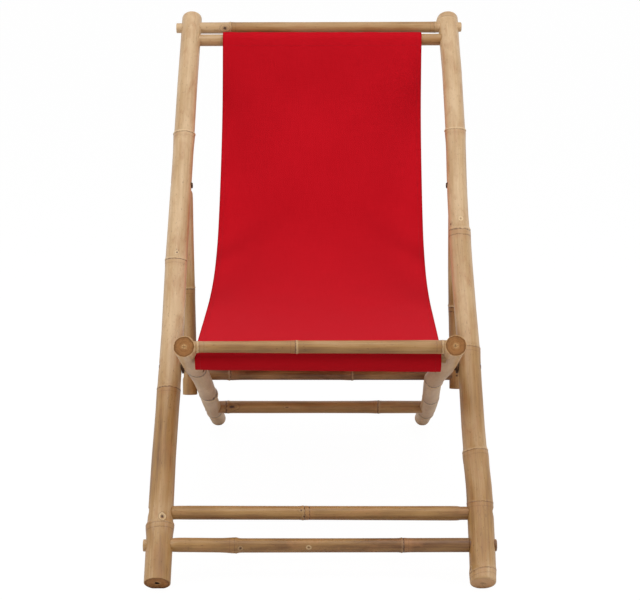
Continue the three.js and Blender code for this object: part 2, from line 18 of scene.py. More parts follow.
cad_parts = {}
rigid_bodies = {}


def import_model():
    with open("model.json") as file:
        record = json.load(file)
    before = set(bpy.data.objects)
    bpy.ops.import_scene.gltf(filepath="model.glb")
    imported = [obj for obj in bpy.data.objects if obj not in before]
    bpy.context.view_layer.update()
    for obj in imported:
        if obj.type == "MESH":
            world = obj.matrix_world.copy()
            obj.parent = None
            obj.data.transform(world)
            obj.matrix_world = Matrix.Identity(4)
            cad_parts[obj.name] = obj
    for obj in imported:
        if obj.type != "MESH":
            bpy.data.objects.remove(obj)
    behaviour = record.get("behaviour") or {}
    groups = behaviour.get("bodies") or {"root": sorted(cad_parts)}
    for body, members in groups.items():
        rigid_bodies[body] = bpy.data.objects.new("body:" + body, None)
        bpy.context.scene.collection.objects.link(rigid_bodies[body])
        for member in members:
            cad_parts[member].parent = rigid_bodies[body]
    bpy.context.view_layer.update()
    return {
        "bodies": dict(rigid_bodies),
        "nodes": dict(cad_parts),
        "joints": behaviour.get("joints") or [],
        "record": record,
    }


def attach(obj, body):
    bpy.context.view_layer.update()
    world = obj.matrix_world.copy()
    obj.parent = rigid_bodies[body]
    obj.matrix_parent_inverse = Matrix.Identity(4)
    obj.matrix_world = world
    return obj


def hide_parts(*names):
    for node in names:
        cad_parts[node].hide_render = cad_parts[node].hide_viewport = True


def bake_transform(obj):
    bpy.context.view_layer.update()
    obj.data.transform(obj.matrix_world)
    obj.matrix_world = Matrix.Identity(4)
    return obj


bl_info = {
    "name": "Bamboo Deck Chair",
    "version": (1, 0, 0),
    "blender": (4, 5, 0),
    "location": "View3D > Sidebar > Deck Chair",
    "description": "Builds the looks of a bamboo folding deck chair round its packed model",
    "category": "Object",
}

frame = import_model()

MM = 0.001
SIDES = (("left", -1), ("right", 1))
TOWARDS_VIEWER = Vector((0, -0.9755, 0.2198))

# Where rails, bars, bolts and notches cross their frames, in millimetres: [along, above]
CROSSINGS = {
    "top_rail": (1284, 0),
    "top_sling_bar": (1248.9, 0),
    "upper_foot_rung": (131, 0),
    "lower_foot_rung": (70, 0),
    "front_rail": (25.5, 4),
    "front_sling_bar": (61, -6),
    "rear_rung": (737, 0),
    "prop_crossbar": (358.4, 0),
    "pivot_in_back_pole": (428, 0),
    "pivot_in_seat_pole": (217, 0),
    "hinge_bolt": (854, 0),
    "hinge_pin": (0, 0),
    "crossbar_notch": (497, 31.1),
}
# From the middle of the chair to the middle of a hinge plate's thickness
PLATE_MIDDLE = 270.5
# Edges that turn more sharply than this, in degrees, stay sharp
STEM_EDGE = 38
STEEL_EDGE = 35
CLOTH_EDGE = 50


def from_screen(red, green, blue):
    """A colour of 0 to 255 on the screen, as the linear values that a shader takes."""

    def linear(value):
        share = value / 255
        return share / 12.92 if share <= 0.04045 else ((share + 0.055) / 1.055) ** 2.4

    return (linear(red), linear(green), linear(blue))


def length(name, description, default):
    return bpy.props.FloatProperty(
        name=name, description=description, default=default, unit="LENGTH", precision=4
    )


def angle(name, description, degrees):
    return bpy.props.FloatProperty(
        name=name, description=description, default=math.radians(degrees), subtype="ANGLE"
    )


def place(name, description, default):
    return bpy.props.FloatVectorProperty(
        name=name,
        description=description,
        default=default,
        subtype="TRANSLATION",
        unit="LENGTH",
        precision=4,
    )


def colour(name, description, red, green, blue):
    return bpy.props.FloatVectorProperty(
        name=name,
        description=description,
        default=from_screen(red, green, blue),
        subtype="COLOR",
        min=0,
        max=1,
    )


class DeckChairSizes(bpy.types.PropertyGroup):
    """Where the three frames lie, and the sizes that several pieces share."""

    back_origin: place("Back frame", "Foot end of the back poles' axes", (0, -0.48504, 0.014889))
    back_slope: angle("Back slope", "Of the back frame above the floor", 42.7)
    seat_origin: place("Seat frame", "Front end of the seat poles' axes", (0, -0.36796, 0.39513))
    seat_slope: angle("Seat slope", "Of the seat frame, falling to the back", -24.5)
    prop_origin: place("Prop frame", "Axis of the hinge pins", (0, 0.165631, 0.56905))
    prop_slope: angle("Prop slope", "Direction of the prop poles from the hinge", -101.0136)
    back_half: length("Back half spacing", "From the middle to a back pole's axis", 0.274)
    seat_half: length("Seat half spacing", "From the middle to a seat pole's axis", 0.23104)
    prop_half: length("Prop half spacing", "From the middle to a prop pole's axis", 0.267)
    sling_half: length("Sling half width", "From the middle to the edge of the cloth", 0.2101)
    sling_flare: length("Sling flare", "Extra half width of the cloth at the front", 0.0026)
    sling_shift_front: length("Sling shift, front", "Of the cloth's front end to the side", -0.0033)
    sling_shift_top: length("Sling shift, top", "Of the cloth's top end to the side", 0.0046)
    front_pocket: length("Front pocket", "Radius of the cloth round the front bar", 0.0185)
    front_pocket_drop: length("Front pocket drop", "Of the pocket's middle below the bar's", 0.005)
    front_pocket_skew: length("Front pocket skew", "How much lower it hangs at its right end", 0.0042)
    top_pocket: length("Top pocket", "Radius of the cloth round the top bar", 0.0152)
    top_pocket_lift: length("Top pocket lift", "Of the pocket's middle above the bar's", 0.0007)
    cloth: length("Cloth thickness", "Of one layer of canvas", 0.0011)
    hem: length("Side hem", "Width of the hem along each side of the cloth", 0.012)


class DeckChairColours(bpy.types.PropertyGroup):
    """Colours of the materials."""

    # Bamboo skins from light to dark; the darker ones also paint the shade of stems low down and under
    # the sling
    stem_light: colour("Light bamboo", "Skin of a pale stem", 206, 174, 134)
    stem_middle: colour("Brown bamboo", "Skin of a brown stem", 164, 124, 73)
    stem_dark: colour("Dark bamboo", "Skin of the darkest stems", 99, 62, 31)
    mottle: colour("Mottling", "Red-brown clouds on the skin", 166, 116, 72)
    node_line: colour("Node line", "Dark line under a node's ring", 84, 52, 28)
    node_rim: colour("Node rim", "Pale ring of a node", 220, 190, 146)
    scar: colour("Scar", "Where a branch grew", 74, 44, 24)
    end_light: colour("End grain, pale", "Heart and rim of a cut end", 206, 160, 106)
    end_middle: colour("End grain", "Most of a cut end", 160, 110, 62)
    end_dark: colour("End grain, dark", "Rings and edge of a cut end", 112, 72, 38)
    end_closed: colour("Closed end", "End of a stem cut through a node", 200, 160, 120)
    # Painted shade: the inside of a cut end's hollow, drawn nearly black
    pith: colour("Pith", "Hollow in a cut end", 44, 26, 16)
    peg: colour("Peg", "Wooden pegs", 96, 64, 38)
    steel: colour("Steel", "Darkened bolts, plates and pins", 44, 34, 27)
    rust: colour("Rust", "Patches on the steel", 98, 64, 38)
    canvas: colour("Canvas", "The red cloth", 204, 22, 36)
    canvas_shade: colour("Canvas, deep", "Between the threads of the cloth", 168, 8, 18)
    # Painted light: the paler colour of the seat where more light falls on it
    canvas_painted_light: colour("Canvas, faded", "Worn cloth of the seat", 224, 66, 78)
    thread: colour("Thread", "Stitching of the cloth", 172, 20, 30)


# Materials


class Graph:
    """The nodes of a material or of the world, with short calls for those that are used here."""

    def __init__(self, name, owners=None, output="ShaderNodeOutputMaterial"):
        if owners is None:
            owners = bpy.data.materials
        self.owner = owners.new(name)
        self.owner.use_nodes = True
        self.tree = self.owner.node_tree
        self.tree.nodes.clear()
        self.output = self.node(output)

    def node(self, kind, **settings):
        made = self.tree.nodes.new(kind)
        for key, value in settings.items():
            setattr(made, key, value)
        return made

    def put(self, socket, value):
        """Give the socket a number or a colour, or link it to another node's output."""
        if isinstance(value, (tuple, Color)):
            socket.default_value = (*value, 1)
        elif isinstance(value, (int, float)):
            socket.default_value = value
        else:
            self.tree.links.new(value, socket)

    def attribute(self, name, output="Fac"):
        return self.node("ShaderNodeAttribute", attribute_name=name).outputs[output]

    def noise(self, vector, scale, detail=3, roughness=0.55, distortion=0):
        """Noise at one scale, or at a scale for each axis."""
        if isinstance(scale, tuple):
            mapping = self.node("ShaderNodeMapping")
            mapping.inputs["Scale"].default_value = scale
            self.put(mapping.inputs["Vector"], vector)
            vector, scale = mapping.outputs["Vector"], 1
        made = self.node("ShaderNodeTexNoise")
        settings = {"Scale": scale, "Detail": detail, "Roughness": roughness, "Distortion": distortion}
        for name, value in settings.items():
            made.inputs[name].default_value = value
        self.put(made.inputs["Vector"], vector)
        return made.outputs["Fac"]

    def ramp(self, value, *stops):
        made = self.node("ShaderNodeValToRGB")
        elements = made.color_ramp.elements
        while len(elements) < len(stops):
            elements.new(0.5)
        for element, (position, tint) in zip(elements, stops):
            element.position = position
            element.color = (*tint, 1)
        self.put(made.inputs["Fac"], value)
        return made.outputs["Color"]

    def level(self, value, low, high, to_low, to_high):
        made = self.node("ShaderNodeMapRange")
        settings = {"From Min": low, "From Max": high, "To Min": to_low, "To Max": to_high}
        for name, setting in settings.items():
            made.inputs[name].default_value = setting
        self.put(made.inputs["Value"], value)
        return made.outputs["Result"]

    def math(self, operation, *values):
        """The first value, joined by the operation to each of the others in turn."""
        result = values[0]
        for value in values[1:]:
            made = self.node("ShaderNodeMath", operation=operation)
            self.put(made.inputs[0], result)
            self.put(made.inputs[1], value)
            result = made.outputs["Value"]
        return result

    def mix(self, factor, first, second):
        made = self.node("ShaderNodeMix", data_type="RGBA")
        for name, value in (("Factor", factor), ("A", first), ("B", second)):
            self.put(next(s for s in made.inputs if s.name == name and s.enabled), value)
        return next(s for s in made.outputs if s.enabled)

    def band(self, value, middle, half, soft):
        """1 within half of the middle, falling to 0 over the soft edge beyond."""
        away = self.math("ABSOLUTE", self.math("SUBTRACT", value, middle), 0)
        return self.level(away, half, half + soft, 1, 0)

    def bump(self, height, strength, distance, normal=None):
        made = self.node("ShaderNodeBump")
        made.inputs["Strength"].default_value = strength
        made.inputs["Distance"].default_value = distance
        self.put(made.inputs["Height"], height)
        if normal is not None:
            self.put(made.inputs["Normal"], normal)
        return made.outputs["Normal"]

    def shader(self, kind, **values):
        made = self.node(kind)
        for name, value in values.items():
            self.put(made.inputs[name.replace("_", " ")], value)
        return made.outputs[0]

    def either(self, share, first, second):
        """A shader that goes from the first to the second as the share goes from 0 to 1."""
        made = self.node("ShaderNodeMixShader")
        for socket, value in zip(made.inputs, (share, first, second)):
            self.put(socket, value)
        return made.outputs["Shader"]

    def finish(self, shader):
        self.put(self.output.inputs["Surface"], shader)
        return self.owner

    def surface(self, tint, roughness, normal, **settings):
        """The finished material with one plain shader."""
        settings |= {"Base_Color": tint, "Roughness": roughness, "Normal": normal}
        return self.finish(self.shader("ShaderNodeBsdfPrincipled", **settings))


def stem_skin(colours):
    """Bamboo skin: long fibres, clouds, pale rings and dark lines at the nodes, and scars."""
    g = Graph("bamboo_skin")
    stem = g.attribute("stem_place", "Vector")
    fine = g.noise(stem, (1100, 1100, 16), 4, 0.6)
    streaks = g.noise(stem, (190, 190, 5), 4, 0.6)
    clouds = g.noise(stem, (60, 60, 22), 4, 0.6, 0.4)
    blotches = g.noise(stem, (34, 34, 8), 3, 0.5)
    specks = g.noise(stem, (420, 420, 160), 2, 0.5)
    wander = g.level(g.noise(stem, (300, 300, 90)), 0.3, 0.7, -0.7, 0.7)
    ragged = g.level(g.noise(stem, (220, 220, 60), 2), 0.3, 0.55, 0.3, 1.0)

    tone = g.math(
        "ADD",
        g.attribute("tone"),
        g.level(streaks, 0.3, 0.7, -0.12, 0.12),
        g.level(fine, 0.3, 0.7, -0.08, 0.08),
        g.level(blotches, 0.35, 0.65, -0.15, 0.15),
    )
    # Low tones take the darker stops, partly as painted shade low down and under the sling
    skin = g.ramp(tone, (0.0, colours.stem_dark), (0.42, colours.stem_middle), (1.0, colours.stem_light))

    beyond = g.math("ADD", g.attribute("beyond"), wander)
    dark = g.attribute("dark")
    stain = g.math("MULTIPLY", g.band(beyond, 9, 3, 9), g.level(clouds, 0.3, 0.7, 0.1, 0.5), dark)
    rim = g.math("MULTIPLY", g.band(beyond, 0, 0.8, 2.0), g.attribute("pale"))
    line = g.math("MULTIPLY", g.band(beyond, 2.6, 0.45, 0.9), ragged, dark)
    second = g.math("MULTIPLY", g.band(beyond, 11, 0.3, 0.8), ragged, g.attribute("second"))

    gap = g.math("ADD", g.attribute("scar_gap"), g.level(specks, 0.3, 0.7, -0.1, 0.1))
    scar_dark = g.attribute("scar_dark")
    halo = g.math("MULTIPLY", g.band(gap, 0.72, 0.1, 0.24), g.attribute("pale_scar"))
    core = g.math("MULTIPLY", g.band(gap, 0, 0.26, 0.2), scar_dark)
    loops = g.math("MAXIMUM", g.band(gap, 0.55, 0.03, 0.12), g.band(gap, 1.0, 0.04, 0.14))

    for share, tint in (
        (g.level(clouds, 0.5, 0.72, 0.0, 0.5), colours.mottle),
        (g.level(specks, 0.63, 0.76, 0.0, 0.5), colours.node_line),
        (stain, colours.mottle),
        (rim, colours.node_rim),
        (line, colours.node_line),
        (second, colours.node_line),
        (halo, colours.node_rim),
        (core, colours.scar),
        (g.math("MULTIPLY", loops, scar_dark, 0.3), colours.scar),
    ):
        skin = g.mix(share, skin, tint)

    gloss = g.attribute("gloss")
    dull = g.level(gloss, 0, 1, 0.3, 0)
    roughness = g.math("ADD", dull, g.level(streaks, 0.3, 0.7, 0.3, 0.42))
    normal = g.bump(fine, 0.15, 0.0004)
    normal = g.bump(clouds, 0.25, 0.0012, normal)
    normal = g.bump(line, 0.6, -0.0004, normal)
    return g.surface(skin, roughness, normal, Specular_IOR_Level=g.level(gloss, 0, 1, 0.03, 0.42))


def end_grain(colours):
    """A cut end: fibre bundles in rings, a darker edge, and the pith's hollow in the middle painted
    near-black as its shade.
    """
    g = Graph("bamboo_end_grain")
    stem = g.attribute("stem_place", "Vector")
    bundles = g.node("ShaderNodeTexVoronoi")
    g.put(bundles.inputs["Scale"], 900)
    g.put(bundles.inputs["Vector"], stem)
    spread = bundles.outputs["Distance"]
    uneven = g.noise(stem, 160)
    reach = g.math("ADD", g.attribute("reach"), g.level(uneven, 0.3, 0.7, -0.05, 0.05))
    rings = g.math("SINE", g.math("MULTIPLY", reach, 30), 0)
    light, middle, dark = colours.end_light, colours.end_middle, colours.end_dark
    stops = ((0.0, light), (0.16, light), (0.34, middle), (0.72, middle), (0.9, dark), (0.97, light))
    face = g.ramp(reach, *stops)
    for share, tint in (
        (g.level(rings, 0, 1, 0, 0.3), dark),
        (g.level(uneven, 0.45, 0.7, 0, 0.4), dark),
        (g.level(spread, 0.0, 0.6, 0.35, 0.0), dark),
        (g.level(g.attribute("closed"), 0, 1, 0, 0.75), colours.end_closed),
        # Painted shade inside the pith's hollow
        (g.attribute("pith"), colours.pith),
    ):
        face = g.mix(share, face, tint)
    roughness = g.level(spread, 0, 0.6, 0.85, 0.65)
    return g.surface(face, roughness, g.bump(spread, 0.4, 0.0004), Specular_IOR_Level=0.2)


def grained(name, tint, shade, scale, detail, roughnesses, strength, depth):
    """A material with one even grain: darker, smoother and lower where the grain is low."""
    g = Graph(name)
    spot = g.node("ShaderNodeTexCoord").outputs["Object"]
    grain = g.noise(spot, (scale, scale, scale), detail)
    face = g.mix(g.level(grain, 0.3, 0.7, 0, 1), tint * shade, tint)
    roughness = g.level(grain, 0.3, 0.7, *roughnesses)
    return g.surface(face, roughness, g.bump(grain, strength, depth), Specular_IOR_Level=0.3)


def peg_wood(colours):
    return grained("peg_wood", colours.peg, 0.6, 900, 3, (0.55, 0.8), 0.3, 0.0003)


def sewing_thread(colours):
    return grained("sewing_thread", colours.thread, 0.7, 2600, 2, (0.5, 0.75), 0.4, 0.0002)


def dark_steel(colours):
    """Darkened steel with small scratches and a little rust in patches."""
    g = Graph("dark_steel")
    spot = g.node("ShaderNodeTexCoord").outputs["Object"]
    brushed = g.noise(spot, (300, 2200, 2200))
    patches = g.noise(spot, 220, 4)
    worn = colours.steel * 2.4
    face = g.mix(g.level(brushed, 0.35, 0.7, 0, 1), colours.steel, worn)
    face = g.mix(g.level(patches, 0.4, 0.6, 0.2, 0.9), face, colours.rust)
    roughness = g.level(patches, 0.3, 0.7, 0.4, 0.7)
    scratches = g.bump(brushed, 0.2, 0.0002)
    return g.surface(face, roughness, scratches, Metallic=0.6, Specular_IOR_Level=0.3)


def red_canvas(colours):
    """Plain-weave canvas: warp and weft as two crossed ridges, with slubs; paler cloudy patches over the
    seat are painted light, and the front pocket and the side hems carry painted shade.
    """
    g = Graph("red_canvas")
    cloth = g.attribute("cloth_place", "Vector")
    parts = g.node("ShaderNodeSeparateXYZ")
    g.put(parts.inputs["Vector"], cloth)
    across, along = parts.outputs["X"], parts.outputs["Y"]
    turns_per_metre = 2 * math.pi * 900
    warp = g.math("SINE", g.math("MULTIPLY", across, turns_per_metre), 0)
    weft = g.math("SINE", g.math("MULTIPLY", along, turns_per_metre), 0)
    weave = g.math("MULTIPLY", warp, weft)
    slubs = g.math("ADD", g.noise(cloth, (700, 22, 1)), g.noise(cloth, (22, 700, 1)))
    clouds = g.noise(cloth, 9, 4)
    # Painted light: the seat, lit from above, drawn paler in cloudy patches
    seat = g.level(along, 0.12, 0.75, 0.2, 0.0)
    face = colours.canvas
    for share, tint in (
        (g.level(weave, -1, 1, 0.35, 0.0), colours.canvas_shade),
        (g.level(slubs, 0.8, 1.3, 0.22, 0.0), colours.canvas_shade),
        (g.level(clouds, 0.35, 0.7, 0.0, 0.16), colours.canvas_shade),
        (g.math("MULTIPLY", seat, g.level(clouds, 0.3, 0.7, 0.7, 1.0)), colours.canvas_painted_light),
        # Painted shade: the front pocket darkened for the shade under the front rail
        (g.level(along, 0.085, 0.1, 0.7, 0.0), colours.canvas_shade),
        # Painted shade along the side hems
        (g.level(g.attribute("edge"), 0.0, 1.0, 0.0, 0.7), colours.canvas_shade),
    ):
        face = g.mix(share, face, tint)
    normal = g.bump(weave, 0.35, 0.0004)
    normal = g.bump(slubs, 0.3, 0.0005, normal)
    roughness = g.level(slubs, 0.7, 1.3, 1.0, 0.92)
    return g.surface(face, roughness, normal, Specular_IOR_Level=0.04)


MATERIALS = {
    "bamboo_skin": stem_skin,
    "bamboo_end_grain": end_grain,
    "peg_wood": peg_wood,
    "dark_steel": dark_steel,
    "red_canvas": red_canvas,
    "sewing_thread": sewing_thread,
}


def material(context, name):
    """The named material, made the first time that it is asked for."""
    return bpy.data.materials.get(name) or MATERIALS[name](context.scene.deck_chair_colours)


# Meshes


def smoothed(values, at):
    """Values given by place, joined by straight lines."""
    places, amounts = zip(*values)
    return np.interp(at, places, amounts)


def hump(away, reach):
    """1 in the middle, falling to almost 0 at twice the reach."""
    return np.exp(-((away / reach) ** 2))


def on_side(value, side):
    """A value that both sides share, or the left or the right one of a pair."""
    if isinstance(value, tuple):
        return value[0] if side < 0 else value[1]
    return value


def new_mesh(name, points, faces):
    mesh = bpy.data.meshes.new(name)
    mesh.from_pydata([tuple(point) for point in points], [], faces)
    mesh.update()
    return mesh


def shade_smooth(mesh, sharp_angle):
    mesh.polygons.foreach_set("use_smooth", [True] * len(mesh.polygons))
    mesh.update()
    mesh.set_sharp_from_angle(angle=math.radians(sharp_angle))


def new_object(context, name, mesh, body, slot, *materials):
    if not mesh.materials:
        for each in materials:
            mesh.materials.append(each)
    made = bpy.data.objects.new(name, mesh)
    context.scene.collection.objects.link(made)
    if body:
        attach(made, body)
    return made


def grid_faces(rows, columns, closed, looped=False):
    """Quads of a grid of vertices; closed joins its last column to its first, and looped its rows."""
    faces = []
    for row in range(rows if looped else rows - 1):
        here, after = row * columns, (row + 1) % rows * columns
        for column in range(columns if closed else columns - 1):
            beside = (column + 1) % columns
            faces.append((here + column, here + beside, after + beside, after + column))
    return faces


def add_attribute(mesh, name, values):
    kind, part = ("FLOAT_VECTOR", "vector") if values.ndim == 2 else ("FLOAT", "value")
    mesh.attributes.new(name, kind, "POINT").data.foreach_set(part, values.ravel())


# Frames, as matrices from [across, along, above] to the chair's own axes


def frame_matrix(origin, slope):
    along = Vector((0, math.cos(slope), math.sin(slope)))
    above = Vector((0, -math.sin(slope), math.cos(slope)))
    turned = Matrix((Vector((1, 0, 0)), along, above)).transposed().to_4x4()
    return Matrix.Translation(origin) @ turned


def frames_of(sizes):
    return {
        "back_frame": frame_matrix(sizes.back_origin, sizes.back_slope),
        "seat_frame": frame_matrix(sizes.seat_origin, sizes.seat_slope),
        "prop_frame": frame_matrix(sizes.prop_origin, sizes.prop_slope),
    }


def half_spacings(sizes):
    """From the middle of the chair to each frame's pole axes, in millimetres."""
    halves = {"back_frame": sizes.back_half, "seat_frame": sizes.seat_half, "prop_frame": sizes.prop_half}
    return {body: round(half / MM, 3) for body, half in halves.items()}


# Bamboo stems


@dataclass
class Ring:
    """One node: a raised ring across the stem, swollen on one side of it, with a dark line there."""

    place: float
    rise: float = 0.7
    swell: float = 0.7
    side: int = -1
    reach: float = 16
    tilt: float = 0.8
    turn: float = 0.0
    dark: float = 0.8
    pale: float = 0.5
    second: float = 0.3
    bulge: float = 0.0
    bulge_turn: float = 0.0
    wide: float = 1.0


@dataclass
class Scar:
    """A branch scar or knot: turn 0 faces the viewer of the photograph."""

    place: float
    turn: float
    size: float = 3.0
    stretch: float = 1.3
    rise: float = 0.5
    dark: float = 0.9
    pale: float = 0.4


@dataclass
class Stem:
    """A bamboo stem from one end to the other; places run from its start, in millimetres.

    A "cut" end shows its pith, a "closed" one is cut through a node and is paler, and a "solid"
    one is plain. Bend and sag move the axis across the stem by place, and tone is 0 for dark;
    a low tone is partly the skin's own colour and partly painted shade, low down and under the sling.
    """

    name: str
    body: str
    start: tuple
    length: float
    radius: list
    lies: str = "along"
    bend: list = field(default_factory=lambda: [(0, 0)])
    sag: list = field(default_factory=lambda: [(0, 0)])
    # Partly the skin's own colour, partly painted shade: lower low down and under the sling
    tone: list = field(default_factory=lambda: [(0, 0.5)])
    rings: list = field(default_factory=list)
    scars: list = field(default_factory=list)
    ends: tuple = ("cut", "cut")
    chamfers: tuple = ((0.7, 0.6), (0.7, 0.6))
    pith: float = 3.6
    gloss: float = 1.0
    sides: int = 48


def stem_places(stem):
    """Places of the cross-sections: close together at the ends, the nodes and the scars."""
    plain, coarse, middling, fine, finest, least = 7.0, 3.0, 1.0, 0.9, 0.8, 0.28
    near_end = (0.3, 0.7, 1.2, 1.8, 2.6, 3.5, 4.5, 6)
    half_ring, beside_ring = 6, 8
    places = set(np.arange(0, stem.length, plain)) | {stem.length}
    for end in (0.0, stem.length):
        places |= {abs(end - step) for step in near_end}
    for ring in stem.rings:
        around = half_ring + abs(ring.tilt)
        wider = around + beside_ring
        places |= {ring.place + step for step in np.arange(-around, around, fine)}
        places |= {ring.place + ring.side * step for step in np.arange(around, wider, middling)}
        places |= {ring.place + ring.side * step for step in np.arange(wider, 2.4 * ring.reach, coarse)}
    for scar in stem.scars:
        reach = 2.2 * scar.size
        places |= {scar.place + step for step in np.arange(-reach, reach, finest)}
    places |= {place for place, _ in stem.radius}
    inside = sorted(p for p in places if 0 <= p <= stem.length)
    kept = [inside[0]]
    for place in inside[1:]:
        if place - kept[-1] > least:
            kept.append(place)
    kept[-1] = stem.length
    return np.array(kept)


def stem_axes(stem, frames):
    """The stem's origin, its axis, its side to the viewer, its other side, and where bend and sag go."""
    matrix = frames[stem.body]
    turned = matrix.to_3x3()
    lengthways = stem.lies == "along"
    axis = turned @ (Vector((0, 1, 0)) if lengthways else Vector((1, 0, 0)))
    face = (TOWARDS_VIEWER - axis * TOWARDS_VIEWER.dot(axis)).normalized()
    side = Vector((1, 0, 0)) if lengthways else Vector((0, 0, 1))
    side = (side - axis * side.dot(axis) - face * side.dot(face)).normalized()
    across = Vector((1, 0, 0)) if lengthways else turned @ Vector((0, 0, 1))
    push = turned @ (Vector((0, 0, 1)) if lengthways else Vector((0, 1, 0)))
    origin = matrix @ (Vector(stem.start) * MM)
    return [np.array(each) for each in (origin, axis, face, side, across, push)]


def scar_gap(stem, scar, place, turn):
    """Distance from the scar's middle, in its own sizes."""
    around = np.angle(np.exp(1j * (turn - scar.turn))) * smoothed(stem.radius, place)
    return np.hypot((place - scar.place) / scar.stretch, around) / scar.size


def ring_gap(ring, place, turn):
    """Distance from the ring along the stem, positive on its swollen side."""
    return (place - ring.place - ring.tilt * np.cos(turn - ring.turn)) * ring.side


def stem_radius(stem, place, turn, seed):
    """Radius of the stem's skin, with its nodes, its scars and the unevenness of a grown stem."""
    noise = random.Random(seed)
    phases = [noise.uniform(0, 2 * math.pi) for _ in range(3)]
    oval_share, twist_length = 0.012, 400
    flute_share, flute_length = 0.004, 90
    oval = oval_share * np.cos(2 * turn + phases[0] + place / twist_length)
    flutes = flute_share * np.cos(3 * turn + phases[1]) * np.sin(place / flute_length + phases[2])
    radius = smoothed(stem.radius, place) * (1 + oval + flutes)
    rim_reach, short_reach, bulge_reach = 1.5, 4.5, 15
    line, line_depth, line_reach = 2.6, 0.35, 0.8
    second, second_depth, second_reach = 11, 0.2, 0.9
    lip, lip_sharpness, hollow, hollow_sharpness = 0.85, 8, 0.6, 9
    for ring in stem.rings:
        beyond = ring_gap(ring, place, turn)
        radius += ring.rise * hump(beyond, rim_reach)
        radius += ring.swell * hump(beyond, np.where(beyond > 0, ring.reach, short_reach))
        radius -= line_depth * ring.dark * hump(beyond - line, line_reach)
        radius -= second_depth * ring.second * hump(beyond - second, second_reach)
        leaning = np.clip(np.cos(turn - ring.bulge_turn), 0, 1) ** 2
        radius += ring.bulge * leaning * hump(beyond, bulge_reach)
    for scar in stem.scars:
        gap = scar_gap(stem, scar, place, turn)
        raised = np.exp(-((gap - lip) ** 2) * lip_sharpness)
        sunk = hollow * np.exp(-(gap**2) * hollow_sharpness)
        radius += scar.rise * (raised - sunk)
    return radius


def end_rings(kind, radius, pith):
    """Rings of a stem's end, from its rim to its middle: [radius, depth]."""
    edge, middle = 0.05, 0.3
    rim = radius - edge
    face = [(rim * share, 0.0) for share in (1.0, 0.9, 0.75, 0.6, 0.45)]
    if kind == "cut":
        return [*face, (pith + 0.5, 0.1), (pith, 0.9), (pith * 0.95, 7.0), (middle, 7.4)]
    return [*face, (rim * 0.3, 0.3), (middle, 0.5)]


def stem_mesh(stem, frames, seed):
    """A lofted stem: its sections follow the radius, the nodes and the bends, and its ends are closed."""
    count = stem.sides
    places = stem_places(stem)
    turn = np.linspace(0, 2 * math.pi, count, endpoint=False)
    grid_place, grid_turn = np.meshgrid(places, turn, indexing="ij")
    radius = stem_radius(stem, grid_place, grid_turn, seed)
    rows = [(grid_place[i], radius[i]) for i in range(len(places))]
    for at_start, (along, inward) in zip((True, False), stem.chamfers):
        away = places if at_start else stem.length - places
        share = np.clip(1 - away / along, 0, 1)
        inset = inward * (1 - np.sqrt(1 - share**2))
        for i, (_, row_radius) in enumerate(rows):
            row_radius -= inset[i]
    caps = []
    for kind, at_start in zip(stem.ends, (True, False)):
        place, rim = rows[0] if at_start else rows[-1]
        outward = -1 if at_start else 1
        shape = rim / rim.mean()
        steps = end_rings(kind, float(rim.mean()), stem.pith)
        caps.append([(place - outward * depth, shape * r) for r, depth in steps])
    all_rows = [*caps[0][::-1], *rows, *caps[1]]
    s = np.array([row[0] for row in all_rows])
    r = np.array([row[1] for row in all_rows])

    origin, axis, face, side, across, push = stem_axes(stem, frames)
    turns = np.tile(turn, (len(all_rows), 1))
    steps = (
        (s, axis),
        (r * np.cos(turns), face),
        (r * np.sin(turns), side),
        (smoothed(stem.bend, s), across),
        (smoothed(stem.sag, s), push),
    )
    points = origin + sum(MM * amount[..., None] * direction for amount, direction in steps)
    points = points.reshape(-1, 3)

    faces = grid_faces(len(all_rows), count, closed=True)
    last = (len(all_rows) - 1) * count
    faces.append(tuple(reversed(range(count))))
    faces.append(tuple(range(last, last + count)))
    if np.dot(np.cross(side, face), axis) > 0:
        faces = [tuple(reversed(each)) for each in faces]
    mesh = new_mesh(stem.name, points, faces)
    at_end = np.zeros(len(faces), int)
    at_end[: len(caps[0]) * count] = 1
    at_end[(len(all_rows) - len(caps[1]) - 1) * count :] = 1
    mesh.polygons.foreach_set("material_index", at_end)
    return mesh


